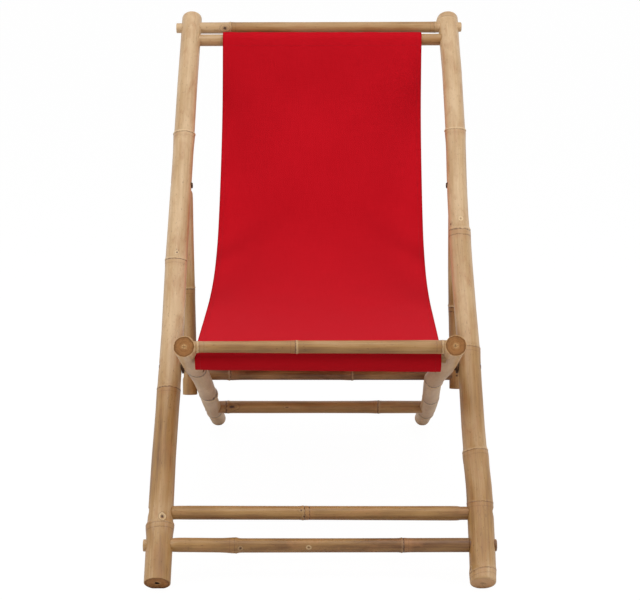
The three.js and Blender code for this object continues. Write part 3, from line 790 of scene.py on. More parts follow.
def mark_stem(mesh, stem, frames, seed):
    """Store on every vertex where it lies on the stem, for the stem's materials."""
    origin, axis, face, side, across, push = stem_axes(stem, frames)
    points = np.empty(3 * len(mesh.vertices))
    mesh.vertices.foreach_get("co", points)
    away = (points.reshape(-1, 3) - origin) / MM
    place = away @ axis
    away = away - smoothed(stem.bend, place)[:, None] * across - smoothed(stem.sag, place)[:, None] * push
    out_face, out_side = away @ face, away @ side
    turn = np.arctan2(out_side, out_face)
    out = np.hypot(out_face, out_side)
    radius = smoothed(stem.radius, place)
    from_end = np.minimum(place, stem.length - place)

    far_from_ring, far_from_scar = 99.0, 9.0
    reach_beside, reach_per_width, fading = 16, 14, 8
    beyond = np.full(place.shape, far_from_ring)
    rings = {name: np.zeros(place.shape) for name in ("dark", "pale", "second")}
    for ring in stem.rings:
        gap = ring_gap(ring, place, turn)
        reach = reach_per_width * ring.wide + reach_beside
        near = np.clip((reach - np.abs(gap)) / fading, 0, 1)
        gap = gap / ring.wide
        nearer = np.abs(gap) < np.abs(beyond)
        beyond = np.where(nearer, gap, beyond)
        for name, marks in rings.items():
            rings[name] = np.where(nearer, getattr(ring, name) * near, marks)
    nearest = np.full(place.shape, far_from_scar)
    scar_dark, pale_scar = np.zeros(place.shape), np.zeros(place.shape)
    for scar in stem.scars:
        gap = scar_gap(stem, scar, place, turn)
        nearer = gap < nearest
        nearest = np.where(nearer, gap, nearest)
        scar_dark = np.where(nearer, scar.dark, scar_dark)
        pale_scar = np.where(nearer, scar.pale, pale_scar)

    # Each stem is cut from its own part of the grain
    apart, pith_edge, end_face, closed_depth = 0.37, 0.1, 0.5, 4
    shift = apart * seed
    # The hollow at the pith of a cut end, painted nearly black as its shade
    in_shaded_hollow = (out < stem.pith + pith_edge) & (from_end > end_face)
    in_closed_end = (place < closed_depth) & (stem.ends[0] == "closed")
    values = {
        "stem_place": np.stack([out_face * MM + shift, out_side * MM, place * MM + shift], axis=-1),
        "tone": smoothed(stem.tone, place),
        "beyond": beyond,
        **rings,
        "scar_gap": nearest,
        "scar_dark": scar_dark,
        "pale_scar": pale_scar,
        "reach": out / radius,
        "gloss": np.full(place.shape, stem.gloss),
        "closed": in_closed_end.astype(float),
        "pith": in_shaded_hollow.astype(float),
    }
    for name, value in values.items():
        add_attribute(mesh, name, value)


def carved(context, mesh, cutters, *materials):
    """The mesh with the cutters' shapes taken out of it; the cut faces get the last of the materials."""
    shapes = bpy.data.collections.new("cutters")
    for cutter in cutters:
        shapes.objects.link(bpy.data.objects.new(cutter.name, cutter))
        cutter.polygons.foreach_set("material_index", [len(materials) - 1] * len(cutter.polygons))
    whole = bpy.data.objects.new("whole", mesh)
    context.scene.collection.objects.link(whole)
    for each in (mesh, *cutters):
        for paint in materials:
            each.materials.append(paint)
    cut = whole.modifiers.new("cut", "BOOLEAN")
    cut.operation = "DIFFERENCE"
    cut.solver = "MANIFOLD"
    cut.operand_type = "COLLECTION"
    cut.collection = shapes
    result = bpy.data.meshes.new_from_object(whole.evaluated_get(context.evaluated_depsgraph_get()))
    bpy.data.objects.remove(whole)
    for piece in list(shapes.objects):
        bpy.data.objects.remove(piece)
    for each in (mesh, *cutters):
        bpy.data.meshes.remove(each)
    bpy.data.collections.remove(shapes)
    return result


def across_frame(frame, place, height, side=1):
    """A matrix with its X axis across the frame, pointing outwards on that side."""
    turned = Matrix.Rotation(0 if side > 0 else math.pi, 4, "Z")
    return frame @ Matrix.Translation(Vector((0, place, height)) * MM) @ turned


def above_frame(frame, x, place):
    """A matrix with its X axis along the frame's normal."""
    turned = Matrix.Rotation(-math.pi / 2, 4, "Y")
    return frame @ Matrix.Translation(Vector((x, place, 0)) * MM) @ turned


def drill(matrix, radius, start, end):
    return turned_mesh([(start, radius), (end, radius)], matrix, sides=48)


def box_mesh(frame, middle, half):
    """A box, given its middle and half sizes across, along and above the frame."""
    corners = [(-1, -1), (1, -1), (1, 1), (-1, 1)]
    signs = [(across, along, above) for above in (-1, 1) for across, along in corners]
    points = [[m + s * h for m, s, h in zip(middle, sign, half)] for sign in signs]
    faces = [(3, 2, 1, 0), (4, 5, 6, 7), (0, 1, 5, 4), (1, 2, 6, 5), (2, 3, 7, 6), (3, 0, 4, 7)]
    return new_mesh("box", [frame @ (Vector(point) * MM) for point in points], faces)


# Bores through the poles: [crossing, radius, inner end, outer end], the ends in millimetres
# from the middle of the chair. A pair is for the left and the right pole.
BORES = {
    "back_frame": (
        ("top_rail", 10.7, 240, 320),
        ("upper_foot_rung", 10.7, 240, 320),
        ("lower_foot_rung", 10.7, 240, 320),
        ("top_sling_bar", 7.5, 240, 270.8),
        ("pivot_in_back_pole", 5.3, 240, 320),
        ("pivot_in_back_pole", 9.6, 289.4, 320),
        ("hinge_bolt", 3.3, 240, 320),
        ("hinge_bolt", 7, (290.8, 287.3), 320),
        ("hinge_bolt", 7, 240, (257.3, 254.8)),
    ),
    "seat_frame": (
        ("front_rail", 8.3, 190, 280),
        ("front_sling_bar", 7.3, 190, 231.2),
        ("rear_rung", 8.3, 190, 280),
        ("pivot_in_seat_pole", 5.3, 190, 280),
        ("pivot_in_seat_pole", 9.6, 190, 220.3),
        ("crossbar_notch", 16, 190, 280),
    ),
    "prop_frame": (
        ("prop_crossbar", 8.3, 240, 300),
        ("hinge_pin", 3.3, 240, 300),
    ),
}
# Slots of the hinge plates: middle [along, above], and half sizes [across, along, above]
PLATE_SLOTS = {
    "back_frame": ((CROSSINGS["hinge_bolt"][0], -15.7), (2.3, 9.3, 25)),
    "prop_frame": ((-5.3, 0), (2.3, 15, 20)),
}
# What lies under the floor, as a middle and half sizes: the feet are worn flat there
UNDER_FLOOR = ((0, 0, -60), (400, 700, 60))


def stem_cutters(stem, frames):
    """What is cut from a pole: bores, recesses, notch, plate slot and all that lies under the floor."""
    if stem.lies == "across":
        return []
    frame = frames[stem.body]
    side = -1 if stem.start[0] < 0 else 1
    cutters = []
    for crossing, radius, *ends in BORES[stem.body]:
        matrix = across_frame(frame, *CROSSINGS[crossing], side)
        cutters.append(drill(matrix, radius, *[on_side(end, side) for end in ends]))
    if stem.body in PLATE_SLOTS:
        middle, half = PLATE_SLOTS[stem.body]
        cutters.append(box_mesh(frame, (side * PLATE_MIDDLE, *middle), half))
    if stem.body != "prop_frame":
        cutters.append(box_mesh(Matrix.Identity(4), *UNDER_FLOOR))
    return cutters


def add_stem(context, stem, seed):
    frames = frames_of(context.scene.deck_chair_sizes)
    mesh = stem_mesh(stem, frames, seed)
    cutters = stem_cutters(stem, frames)
    skins = (material(context, "bamboo_skin"), material(context, "bamboo_end_grain"))
    if cutters:
        mesh = carved(context, mesh, cutters, *skins)
    mark_stem(mesh, stem, frames, seed)
    shade_smooth(mesh, STEM_EDGE)
    made = new_object(context, f"{stem.name}_stem", mesh, stem.body, "bamboo", *skins)
    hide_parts(stem.name)


def back_stems(half):
    shared = {"body": "back_frame", "length": 1315, "pith": 4.2, "sides": 88}
    left = Stem(
        name="left_back_pole",
        start=(-half, 0, 0),
        radius=[(0, 22.7), (60, 22.9), (95, 22.5), (125, 21.9), (300, 21.0), (390, 20.9), (660, 20.5),
                (880, 20.3), (1080, 20.4), (1320, 20.9)],
        bend=[(0, 0.4), (60, 0), (110, -0.8), (240, -1.6), (330, -0.7), (500, 0.3), (600, -0.9),
              (670, -1.7), (760, -1.5), (900, -1.2), (1120, -1.5), (1226, -0.7), (1320, -0.3)],
        tone=[(0, 0.42), (95, 0.42), (112, 0.56), (135, 0.6), (170, 0.48), (220, 0.4), (372, 0.4),
              (384, 0.61), (430, 0.77), (500, 0.89), (660, 0.88), (676, 0.96), (980, 0.85),
              (1000, 0.91), (1320, 0.91)],
        rings=[
            Ring(107, rise=0.1, swell=2.4, reach=15, tilt=2.4, turn=2.2, dark=0.35, pale=0.0, second=0.5),
            Ring(380, rise=0.3, swell=0.6, reach=24, tilt=-2.5, turn=0.1, dark=0.9, pale=0.15),
            Ring(670, rise=0.5, swell=0.8, reach=14, tilt=-7, turn=0.1, dark=0.8, pale=0.4),
            Ring(986, rise=0.9, swell=1.3, reach=30, tilt=-5.5, dark=0.65, pale=0.8, second=0.2),
        ],
        scars=[
            Scar(114, 0.25, size=6.5, rise=0.7, dark=1.0, pale=0.7),
            Scar(675, 0.12, size=4.0, rise=0.3, dark=0.8, pale=0.8),
            Scar(331, 0.33, size=2.6, rise=0.1, dark=0.8, pale=0.0),
        ],
        chamfers=((0.7, 0.5), (5.5, 3.0)),
        **shared,
    )
    right = Stem(
        name="right_back_pole",
        start=(half, 0, 0),
        radius=[(0, 22.4), (90, 22.8), (140, 23.0), (240, 22.6), (262, 21.2), (460, 20.9), (660, 20.6),
                (735, 20.7), (752, 19.7), (820, 19.8), (1100, 20.0), (1320, 20.9)],
        bend=[(0, 0), (46, 1.6), (100, 2.4), (150, 3.2), (184, 3.1), (220, 1.7), (256, 0.5),
              (300, -0.4), (400, -0.4), (460, 0.5), (560, -1.4), (650, -2.4), (740, -2.9), (780, -3.4),
              (830, -2.9), (884, -1.8), (946, 0), (1009, 1.1), (1157, 1.8), (1226, 0.6), (1320, 0)],
        tone=[(0, 0.64), (18, 0.62), (34, 0.4), (236, 0.4), (254, 0.56), (300, 0.63), (350, 0.5),
              (462, 0.5), (474, 0.77), (740, 0.83), (760, 0.89), (990, 0.9), (1320, 0.93)],
        rings=[
            Ring(20, rise=0.2, swell=0.7, reach=10, tilt=3.5, turn=1.2, dark=0.5, pale=0.0),
            Ring(150, rise=0.3, swell=0.4, reach=14, tilt=-5, dark=0.5, pale=0.05),
            Ring(252, rise=0.4, swell=1.2, reach=22, tilt=-5, turn=-0.5, dark=0.6, pale=0.2),
            Ring(468, rise=0.4, swell=0.8, tilt=-4, turn=0.1, dark=0.5, pale=0.15),
            Ring(743, rise=0.5, swell=1.0, reach=22, tilt=-8, dark=0.75, pale=0.35, second=0.6, wide=1.5),
            Ring(996, rise=0.9, swell=1.3, reach=24, tilt=-9, dark=0.5, pale=0.8, second=0.15),
            Ring(1296, rise=0.3, swell=0.3, side=1, dark=0.4, pale=0.2, bulge=5.0, bulge_turn=-1.5),
        ],
        scars=[
            Scar(757, 0.1, size=5.0, rise=0.4, dark=0.3, pale=0.9),
            Scar(750, -1.05, size=5.5, rise=0.5, dark=0.9, pale=0.1),
            Scar(116, 0.3, size=2.2, rise=0.1, dark=0.6, pale=0.0),
            Scar(124, -0.3, size=1.6, rise=0.1, dark=0.6, pale=0.0),
            Scar(22, -1.2, size=6.0, rise=0.9, dark=0.8, pale=0.2),
        ],
        ends=("closed", "cut"),
        chamfers=((4.0, 2.2), (5.5, 3.0)),
        **shared,
    )
    return [left, right]


def seat_stems(half):
    shared = {
        "body": "seat_frame",
        "length": 920.2,
        "ends": ("solid", "cut"),
        "gloss": 0.8,
        "sides": 60,
    }
    left = Stem(
        name="left_seat_pole",
        start=(-half, 0, 0),
        radius=[(0, 18.4), (60, 17.8), (300, 17.2), (560, 17.0), (920, 16.6)],
        bend=[(0, 0), (200, 1), (280, 4.5), (360, 5.5), (440, 5), (520, 4), (640, 1.5), (760, 0.5),
              (920, 1)],
        tone=[(0, 0.84), (300, 0.86), (510, 0.8), (530, 0.92), (560, 0.78), (920, 0.8)],
        rings=[
            Ring(228, rise=0.3, swell=0.3, tilt=30, turn=1.57, dark=1.0, pale=0.2, second=0, wide=5),
            Ring(530, rise=0.3, swell=0.3, dark=1, pale=0.7, bulge=4.6, bulge_turn=1, second=0, wide=5),
            Ring(798, rise=0.5, swell=0.6, dark=0.9, pale=0.3, second=0, wide=5),
        ],
        **shared,
    )
    right = Stem(
        name="right_seat_pole",
        start=(half, 0, 0),
        radius=[(0, 18.4), (60, 17.8), (300, 17.3), (560, 17.2), (920, 16.7)],
        sag=[(0, 1.8), (120, 0)],
        bend=[(0, 0), (200, -3), (280, -9), (340, -13), (400, -12.5), (460, -9.5), (520, -6.5),
              (600, -2.5), (680, 0), (760, 1.5), (880, 0)],
        tone=[(0, 0.76), (300, 0.8), (480, 0.8), (600, 0.8), (920, 0.8)],
        rings=[
            Ring(358, rise=0.7, swell=0.8, dark=1.0, pale=0.4, second=0, wide=5),
            Ring(588, rise=0.2, swell=0.3, dark=1.0, pale=0.35, second=0, wide=5),
            Ring(808, rise=0.6, swell=0.7, dark=0.9, pale=0.3, second=0, wide=5),
        ],
        **shared,
    )
    return [left, right]


def prop_stems(half):
    shared = {
        "body": "prop_frame",
        "ends": ("closed", "cut"),
        "chamfers": ((11, 4.5), (0.7, 0.6)),
    }
    left = Stem(
        name="left_prop_pole",
        start=(-half, -11.5, 0),
        length=408.9,
        radius=[(0, 11.4), (11, 11.5), (409, 14.6)],
        bend=[(0, 1), (100, 2), (200, 3.7), (290, 5.2), (409, 6.2)],
        # Darker towards the foot: partly the skin's colour, partly painted shade under the sling
        tone=[(0, 0.62), (250, 0.5), (409, 0.34)],
        rings=[Ring(194, rise=0.6, swell=0.5, dark=0.8, pale=0.3, side=1)],
        **shared,
    )
    right = Stem(
        name="right_prop_pole",
        start=(half, -11.5, 0),
        length=397,
        radius=[(0, 11.4), (11, 11.5), (397, 14.1)],
        bend=[(0, 1.0), (100, 1.4), (160, 1.8), (230, 3.2), (300, 5.0), (397, 6.6)],
        # Darker towards the foot: partly the skin's colour, partly painted shade under the sling
        tone=[(0, 0.7), (250, 0.5), (397, 0.32)],
        rings=[Ring(231, rise=0.7, swell=0.6, dark=1.0, pale=0.6, second=1.0, side=1)],
        **shared,
    )
    return [left, right]


def rail(name, body, left_end, **more):
    """A stem that lies across the chair where its crossing says."""
    start = (left_end, *CROSSINGS[name])
    return Stem(name=name, body=body, start=start, lies="across", pith=2.4, **more)


def rail_stems():
    return [
        rail(
            "top_rail",
            "back_frame",
            left_end=-306.2,
            length=607.8,
            radius=[(0, 10.4), (48.5, 10.5), (50, 11.9), (136, 12.0), (300, 11.6), (560, 11.4),
                    (561.5, 10.3), (607.8, 10.2)],
            bend=[(0, -0.7), (612, 2.8)],
            tone=[(0, 0.98), (50, 0.98), (56, 0.9), (110, 0.84), (120, 0.48), (480, 0.48), (530, 0.52),
                  (552, 0.55), (562, 0.97), (612, 0.97)],
            rings=[
                Ring(115, rise=0.6, swell=0.5, side=1, reach=8, dark=0.5, pale=0.2),
                Ring(551, rise=0.4, swell=0.3, dark=0.4, pale=0.2),
            ],
            scars=[Scar(104, -0.2, size=8.5, rise=0.6, dark=1.0, pale=0.0)],
            chamfers=((1.0, 0.8), (3.0, 2.6)),
        ),
        rail(
            "top_sling_bar",
            "back_frame",
            left_end=-270.4,
            length=540.8,
            radius=[(0, 7.0), (12.6, 7.0), (13.2, 12.2), (527.6, 12.2), (528.2, 7), (540.8, 7.0)],
            bend=[(0, -1.2), (541, 1.2)],
            tone=[(0, 0.66), (270, 0.5), (540, 0.45)],
            rings=[Ring(190, dark=0.6)],
        ),
        rail(
            "upper_foot_rung",
            "back_frame",
            left_end=-294.4,
            length=588.8,
            radius=[(0, 10.4), (38, 10.5), (39.5, 11.6), (70, 11.9), (262, 11.8), (450, 12.2),
                    (524, 12.4), (532, 12.2), (536, 11.4), (550, 11.3), (551.5, 10.4), (588.8, 10.4)],
            bend=[(0, 0), (37, 0.4), (44, 2.4), (300, 1.4), (500, 0), (589, 0)],
            tone=[(0, 0.34), (262, 0.35), (290, 0.27), (589, 0.32)],
            rings=[Ring(265, rise=0.4, swell=0.5, side=1, reach=9, dark=0.8, pale=0.1, second=0.9)],
            scars=[
                Scar(262, 0.5, size=4.0, rise=0.4, dark=0.9, pale=0.1),
                Scar(267, -0.4, size=3.6, rise=0.4, dark=0.9, pale=0.1),
            ],
        ),
        rail(
            "lower_foot_rung",
            "back_frame",
            left_end=-301.1,
            length=602.2,
            radius=[(0, 10.4), (44, 10.4), (45.5, 11.0), (53, 12.0), (62, 12.3), (155, 12.3),
                    (300, 12.0), (554, 12.0), (555.5, 10.6), (602.2, 10.4)],
            bend=[(0, 0), (44, 0.4), (54, 2.0), (70, 2.0), (165, 0), (400, 0.8), (550, 1.6),
                  (602, 0.5)],
            tone=[(0, 0.66), (48, 0.5), (58, 0.28), (120, 0.24), (400, 0.12), (602, 0.2)],
            rings=[
                Ring(158, rise=0.2, swell=1.4, dark=0.35, pale=0.0),
                Ring(440, rise=0.5, swell=0.6, side=1, reach=10, dark=1.0, pale=0.1),
            ],
            scars=[
                Scar(166, -0.25, size=4.2, rise=0.4, dark=1.0, pale=0.2),
                Scar(184, -0.2, size=2.4, rise=0.2, dark=0.8, pale=0.0),
                Scar(78, -0.2, size=2.4, stretch=2.2, rise=0.1, dark=0.7, pale=0.0),
                Scar(282, -0.15, size=4.0, rise=0.3, dark=0.5, pale=0.5),
            ],
            chamfers=((0.6, 0.5), (2.4, 2.0)),
        ),
        rail(
            "front_rail",
            "seat_frame",
            left_end=-247,
            length=494,
            radius=[(0, 8), (28.6, 8.0), (29.6, 9.9), (100, 10.1), (205, 11.0), (300, 11.3),
                    (455, 11.9), (465.4, 11.9), (466.4, 8.0), (494, 8)],
            tone=[(0, 0.46), (38, 0.46), (60, 0.36), (205, 0.33), (240, 0.34), (440, 0.38),
                  (494, 0.46)],
            rings=[
                Ring(37, rise=0.4, swell=0.3, side=1, reach=5, dark=0.4, pale=0.6),
                Ring(207, rise=0.5, swell=0.5, reach=12, dark=0.85, pale=0.4),
                Ring(457, rise=0.3, swell=0.2, reach=5, dark=0.4),
            ],
        ),
        rail(
            "front_sling_bar",
            "seat_frame",
            left_end=-230.9,
            length=461.8,
            radius=[(0, 7.0), (12.6, 7.0), (13.2, 12.2), (448.6, 12.2), (449.2, 7), (461.8, 7.0)],
            tone=[(0, 0.5), (461, 0.45)],
            rings=[Ring(300, dark=0.6)],
        ),
        rail(
            "rear_rung",
            "seat_frame",
            left_end=-246.3,
            length=492.6,
            radius=[(0, 8), (25.6, 8.0), (27, 13.0), (60, 13.2), (246, 13.0), (400, 13.5),
                    (465.6, 13.2), (467, 8.0), (492.6, 8)],
            # Partly painted shade: darkened for the shadow of the sling above it
            tone=[(0, 0.3), (250, 0.28), (380, 0.3), (492, 0.3)],
            rings=[
                Ring(49, rise=0.4, swell=0.6, reach=10, dark=1.0, pale=0.0, wide=1.6),
                Ring(372, rise=0.5, swell=0.7, reach=14, dark=0.9, pale=0.1),
            ],
            scars=[
                Scar(58, 0.1, size=9.0, stretch=1.8, rise=0.5, dark=1.0, pale=0.0),
                Scar(176, 0.0, size=3.4, stretch=2.5, dark=0.7, pale=0.1),
            ],
        ),
        rail(
            "prop_crossbar",
            "prop_frame",
            left_end=-272.8,
            length=558.4,
            radius=[(0, 8), (18.6, 8.0), (20, 10.7), (38, 10.8), (520, 10.8), (538.4, 10.7),
                    (539.8, 8.0), (558.4, 8)],
            sag=[(0, -0.8)],
            # Partly painted shade: kept darkest for the shadow of the sling above it
            tone=[(0, 0.12), (558, 0.06)],
            rings=[Ring(91, dark=0.9, pale=0.2, side=1), Ring(337, dark=0.9, pale=0.2)],
        ),
    ]


# Turned pieces, nuts and plates


def turned_points(profile, sides, corner=None):
    """Rings of a profile of [along, radius] turned about X; those marked "hex" follow a hexagon."""
    turn = np.linspace(0, 2 * math.pi, sides, endpoint=False)
    rings = []
    for along, radius, *hexed in profile:
        out = np.full(sides, float(radius))
        if hexed:
            flat = corner * math.cos(math.pi / 6)
            out = np.minimum(out, flat / np.cos((turn % (math.pi / 3)) - math.pi / 6))
        ring = (np.full(sides, float(along)), out * np.cos(turn), out * np.sin(turn))
        rings.append(np.stack(ring, axis=-1))
    return np.concatenate(rings) * MM


def placed_mesh(points, faces, matrix):
    mesh = new_mesh("turned", [matrix @ Vector(point) for point in points], faces)
    shade_smooth(mesh, STEEL_EDGE)
    return mesh


def turned_mesh(profile, matrix, sides):
    """A solid piece turned about the matrix's X axis, from a profile of [along, radius]."""
    faces = [tuple(reversed(f)) for f in grid_faces(len(profile), sides, closed=True)]
    last = (len(profile) - 1) * sides
    faces.append(tuple(range(sides)))
    faces.append(tuple(reversed(range(last, last + sides))))
    if profile[-1][0] > profile[0][0]:
        faces = [tuple(reversed(f)) for f in faces]
    return placed_mesh(turned_points(profile, sides), faces, matrix)


def ring_mesh(profile, matrix, sides, corner=None):
    """A piece with a hole, from a closed profile that runs from the hole's edge round the outside."""
    faces = grid_faces(len(profile), sides, closed=True, looped=True)
    return placed_mesh(turned_points(profile, sides, corner), faces, matrix)


def bolt_profile(end, seat, face, shank, head, threaded):
    """Half section of a round-headed bolt, from the shank's end to the top of its head."""
    taper, point, pitch, thread_depth = 1.1, 0.9, 1.2, 0.5
    profile = [(end, shank - taper), (end + point, shank)]
    for i in range(int(threaded / pitch)):
        start = end + pitch + i * pitch
        profile += [(start, shank), (start + pitch / 2, shank - thread_depth)]
    run_out, worn, rim, flat = 2, 0.25, 0.3, 0.25
    profile += [(end + run_out + threaded, shank), (seat, shank), (seat, head - worn), (seat + rim, head)]
    dome = face - seat - rim
    steps = 8
    for step in range(1, steps):
        around = step / steps * math.pi / 2
        out = flat + (1 - flat) * math.cos(around)
        profile.append((seat + rim + dome * math.sin(around), head * out))
    profile.append((face, 0.2 * head))
    return profile


def nut_profile(start, end, hole, corner):
    """Closed half section of a hexagon nut with both faces chamfered."""
    chamfer, bevel = 0.9, 0.4
    face = 0.9 * corner
    return [
        (start, hole + bevel),
        (start, face, "hex"),
        (start + chamfer, corner, "hex"),
        (end - chamfer, corner, "hex"),
        (end, face, "hex"),
        (end, hole + bevel),
        (end - bevel, hole),
        (start + bevel, hole),
    ]


def plate_mesh(context, frame, across, place, back, thick, radius, hole):
    """A plate with round ends, from a bolt's place to a pin behind it, drilled for both."""
    points_round_end = 25
    half_turn = np.linspace(0, math.pi, points_round_end)
    outline = [(radius * math.cos(a), radius * math.sin(a)) for a in half_turn]
    outline += [(-radius * math.cos(a), back - radius * math.sin(a)) for a in half_turn]
    edge, clear = 0.4, 5
    inset = 1 - edge / radius
    levels = [(-thick / 2, inset), (-thick / 2 + edge, 1), (thick / 2 - edge, 1), (thick / 2, inset)]
    points = []
    for level, share in levels:
        for along, above in outline:
            middle = 0 if above >= 0 else back
            points.append((across + level, place + along * share, middle + (above - middle) * share))
    count = len(outline)
    faces = grid_faces(len(levels), count, closed=True)
    faces += [tuple(reversed(range(count))), tuple(range(3 * count, 4 * count))]
    plate = new_mesh("plate", [frame @ (Vector(point) * MM) for point in points], faces)
    bores = [across_frame(frame, place, height) for height in (0, back)]
    holes = [drill(bore, hole, across - clear, across + clear) for bore in bores]
    cut = carved(context, plate, holes, material(context, "dark_steel"))
    shade_smooth(cut, STEEL_EDGE)
    return cut


class DeckChairOperator(bpy.types.Operator):
    """What the operators of the chair share."""

    bl_options = {"REGISTER", "UNDO"}

    def add_fitting(self, context, name, mesh, body, slot):
        """Add a piece in place of the node of its name: a peg or a piece of steel."""
        mesh.name = name
        kind, paint = ("wood", "peg_wood") if slot == "peg" else ("steel", "dark_steel")
        made = new_object(context, f"{name}_{kind}", mesh, body, slot, material(context, paint))
        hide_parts(name)


class OBJECT_OT_deck_chair_fasteners(DeckChairOperator):
    """Add the bolts, nuts and washers of the seat pivot and the plates and pins of the prop hinge"""

    bl_idname = "object.deck_chair_fasteners"
    bl_label = "Bolts and hinge plates"

    # In millimetres outwards from the middle of the chair, and radii; a pair is [left, right]
    PIVOT_BOLT = {"end": 214.17, "seat": 289.7, "face": 294.9, "shank": 5, "head": 9, "threaded": 9}
    PIVOT_NUT = {"start": 213.98, "end": 219.98, "hole": 5.15, "corner": 8.6}
    PIVOT_WASHER = ((248.7, 5.3), (248.7, 10.6), (249.1, 11), (252.1, 11), (252.5, 10.6), (252.5, 5.3))
    HINGE_BOLT = {"shank": 3, "head": 6.4, "threaded": 6}
    HINGE_HEAD = (291.1, 287.6)
    HINGE_HEAD_HEIGHT = 3.6
    HINGE_NUT = {"hole": 3.15, "corner": 6}
    HINGE_NUT_START = (252.4, 249.9)
    HINGE_NUT_HEIGHT = 4.6
    HINGE_BOLT_PAST_NUT = 0.5
    HINGE_PLATE = {"back": -34, "thick": 4, "radius": 9, "hole": 3.25}
    HINGE_PIN = ((256.1, 2.4), (256.7, 3), (277.3, 3), (277.9, 2.4))
    # Flat sides that each round piece is made of
    BIG_BOLT, SMALL_BOLT, WASHER, NUT = 48, 40, 64, 72

    def execute(self, context):
        frames = frames_of(context.scene.deck_chair_sizes)
        back, prop = frames["back_frame"], frames["prop_frame"]
        hinge_place = CROSSINGS["hinge_bolt"][0]
        for side_name, side in SIDES:
            pivot = across_frame(back, *CROSSINGS["pivot_in_back_pole"], side)
            hinge = across_frame(back, *CROSSINGS["hinge_bolt"], side)
            pin = across_frame(prop, *CROSSINGS["hinge_pin"], side)
            head = on_side(self.HINGE_HEAD, side)
            nut = on_side(self.HINGE_NUT_START, side)
            bolt_ends = (nut - self.HINGE_BOLT_PAST_NUT, head, head + self.HINGE_HEAD_HEIGHT)
            hinge_bolt = bolt_profile(*bolt_ends, **self.HINGE_BOLT)
            hinge_nut = nut_profile(nut, nut + self.HINGE_NUT_HEIGHT, **self.HINGE_NUT)
            pivot_bolt = bolt_profile(**self.PIVOT_BOLT)
            pivot_nut = nut_profile(**self.PIVOT_NUT)
            plate_middle = side * PLATE_MIDDLE
            pieces = (
                ("pivot_bolt", turned_mesh(pivot_bolt, pivot, self.BIG_BOLT)),
                ("pivot_nut", ring_mesh(pivot_nut, pivot, self.NUT, self.PIVOT_NUT["corner"])),
                ("pivot_washer", ring_mesh(self.PIVOT_WASHER, pivot, self.WASHER)),
                ("hinge_bolt", turned_mesh(hinge_bolt, hinge, self.SMALL_BOLT)),
                ("hinge_nut", ring_mesh(hinge_nut, hinge, self.NUT, self.HINGE_NUT["corner"])),
                ("hinge_plate", plate_mesh(context, back, plate_middle, hinge_place, **self.HINGE_PLATE)),
                ("hinge_pin", turned_mesh(self.HINGE_PIN, pin, self.SMALL_BOLT)),
            )
            for name, mesh in pieces:
                body = "prop_frame" if name == "hinge_pin" else "back_frame"
                self.add_fitting(context, f"{side_name}_{name}", mesh, body, "steel")
        return {"FINISHED"}


class OBJECT_OT_deck_chair_pegs(DeckChairOperator):
    """Drive the wooden pegs that hold the rails in the poles"""

    bl_idname = "object.deck_chair_pegs"
    bl_label = "Pegs"

    # name, rail, frame, shifts of the left and the right pole, inner end and outer end
    PEGS = (
        ("top_peg", "top_rail", "back_frame", (-0.3, 0), 14.4, -21.7),
        ("upper_rung_peg", "upper_foot_rung", "back_frame", (-0.9, 2.9), 14.4, -23.2),
        ("lower_rung_peg", "lower_foot_rung", "back_frame", (-0.1, 1.9), 14.4, -23.8),
        ("front_rail_peg", "front_rail", "seat_frame", (0, 0), -8, 18.4),
        ("rear_rung_peg", "rear_rung", "seat_frame", (0.5, 1.2), -12, 17.9),
        ("crossbar_peg", "prop_crossbar", "prop_frame", (5.9, 6.5), -15.2, 15.2),
    )
    # The blunt point and the worn, rounded head: [distance from that end, radius]
    POINT = ((0, 1.2), (1.4, 2.2), (3, 2.4))
    HEAD = ((0.9, 2.4), (0.35, 2.1), (0.08, 1.5), (0, 0.6))
    SIDES_OF_PEG = 22

    def execute(self, context):
        sizes = context.scene.deck_chair_sizes
        frames, halves = frames_of(sizes), half_spacings(sizes)
        for name, rail_name, body, shifts, inner, outer in self.PEGS:
            way = 1 if outer > inner else -1
            profile = [(inner + way * step, radius) for step, radius in self.POINT]
            profile += [(outer - way * step, radius) for step, radius in self.HEAD]
            for side_name, side in SIDES:
                across = side * halves[body] + on_side(shifts, side)
                matrix = above_frame(frames[body], across, CROSSINGS[rail_name][0])
                mesh = turned_mesh(profile, matrix, self.SIDES_OF_PEG)
                self.add_fitting(context, f"{side_name}_{name}", mesh, body, "peg")
        return {"FINISHED"}


class OBJECT_OT_deck_chair_camera(DeckChairOperator):
    """Place the camera where the photograph was taken from"""

    bl_idname = "object.deck_chair_camera"
    bl_label = "Camera"

    PLACE = (0, -3.002, 1.070)
    DEGREES_DOWN = 12.7
    LENS = 90
    SENSOR_WIDTH = 36

    def execute(self, context):
        data = bpy.data.cameras.new("photograph_camera")
        data.lens = self.LENS
        data.sensor_width = self.SENSOR_WIDTH
        camera = bpy.data.objects.new("photograph_camera", data)
        camera.location = self.PLACE
        camera.rotation_euler = (math.radians(90 - self.DEGREES_DOWN), 0, 0)
        context.scene.collection.objects.link(camera)
        context.scene.camera = camera
        return {"FINISHED"}


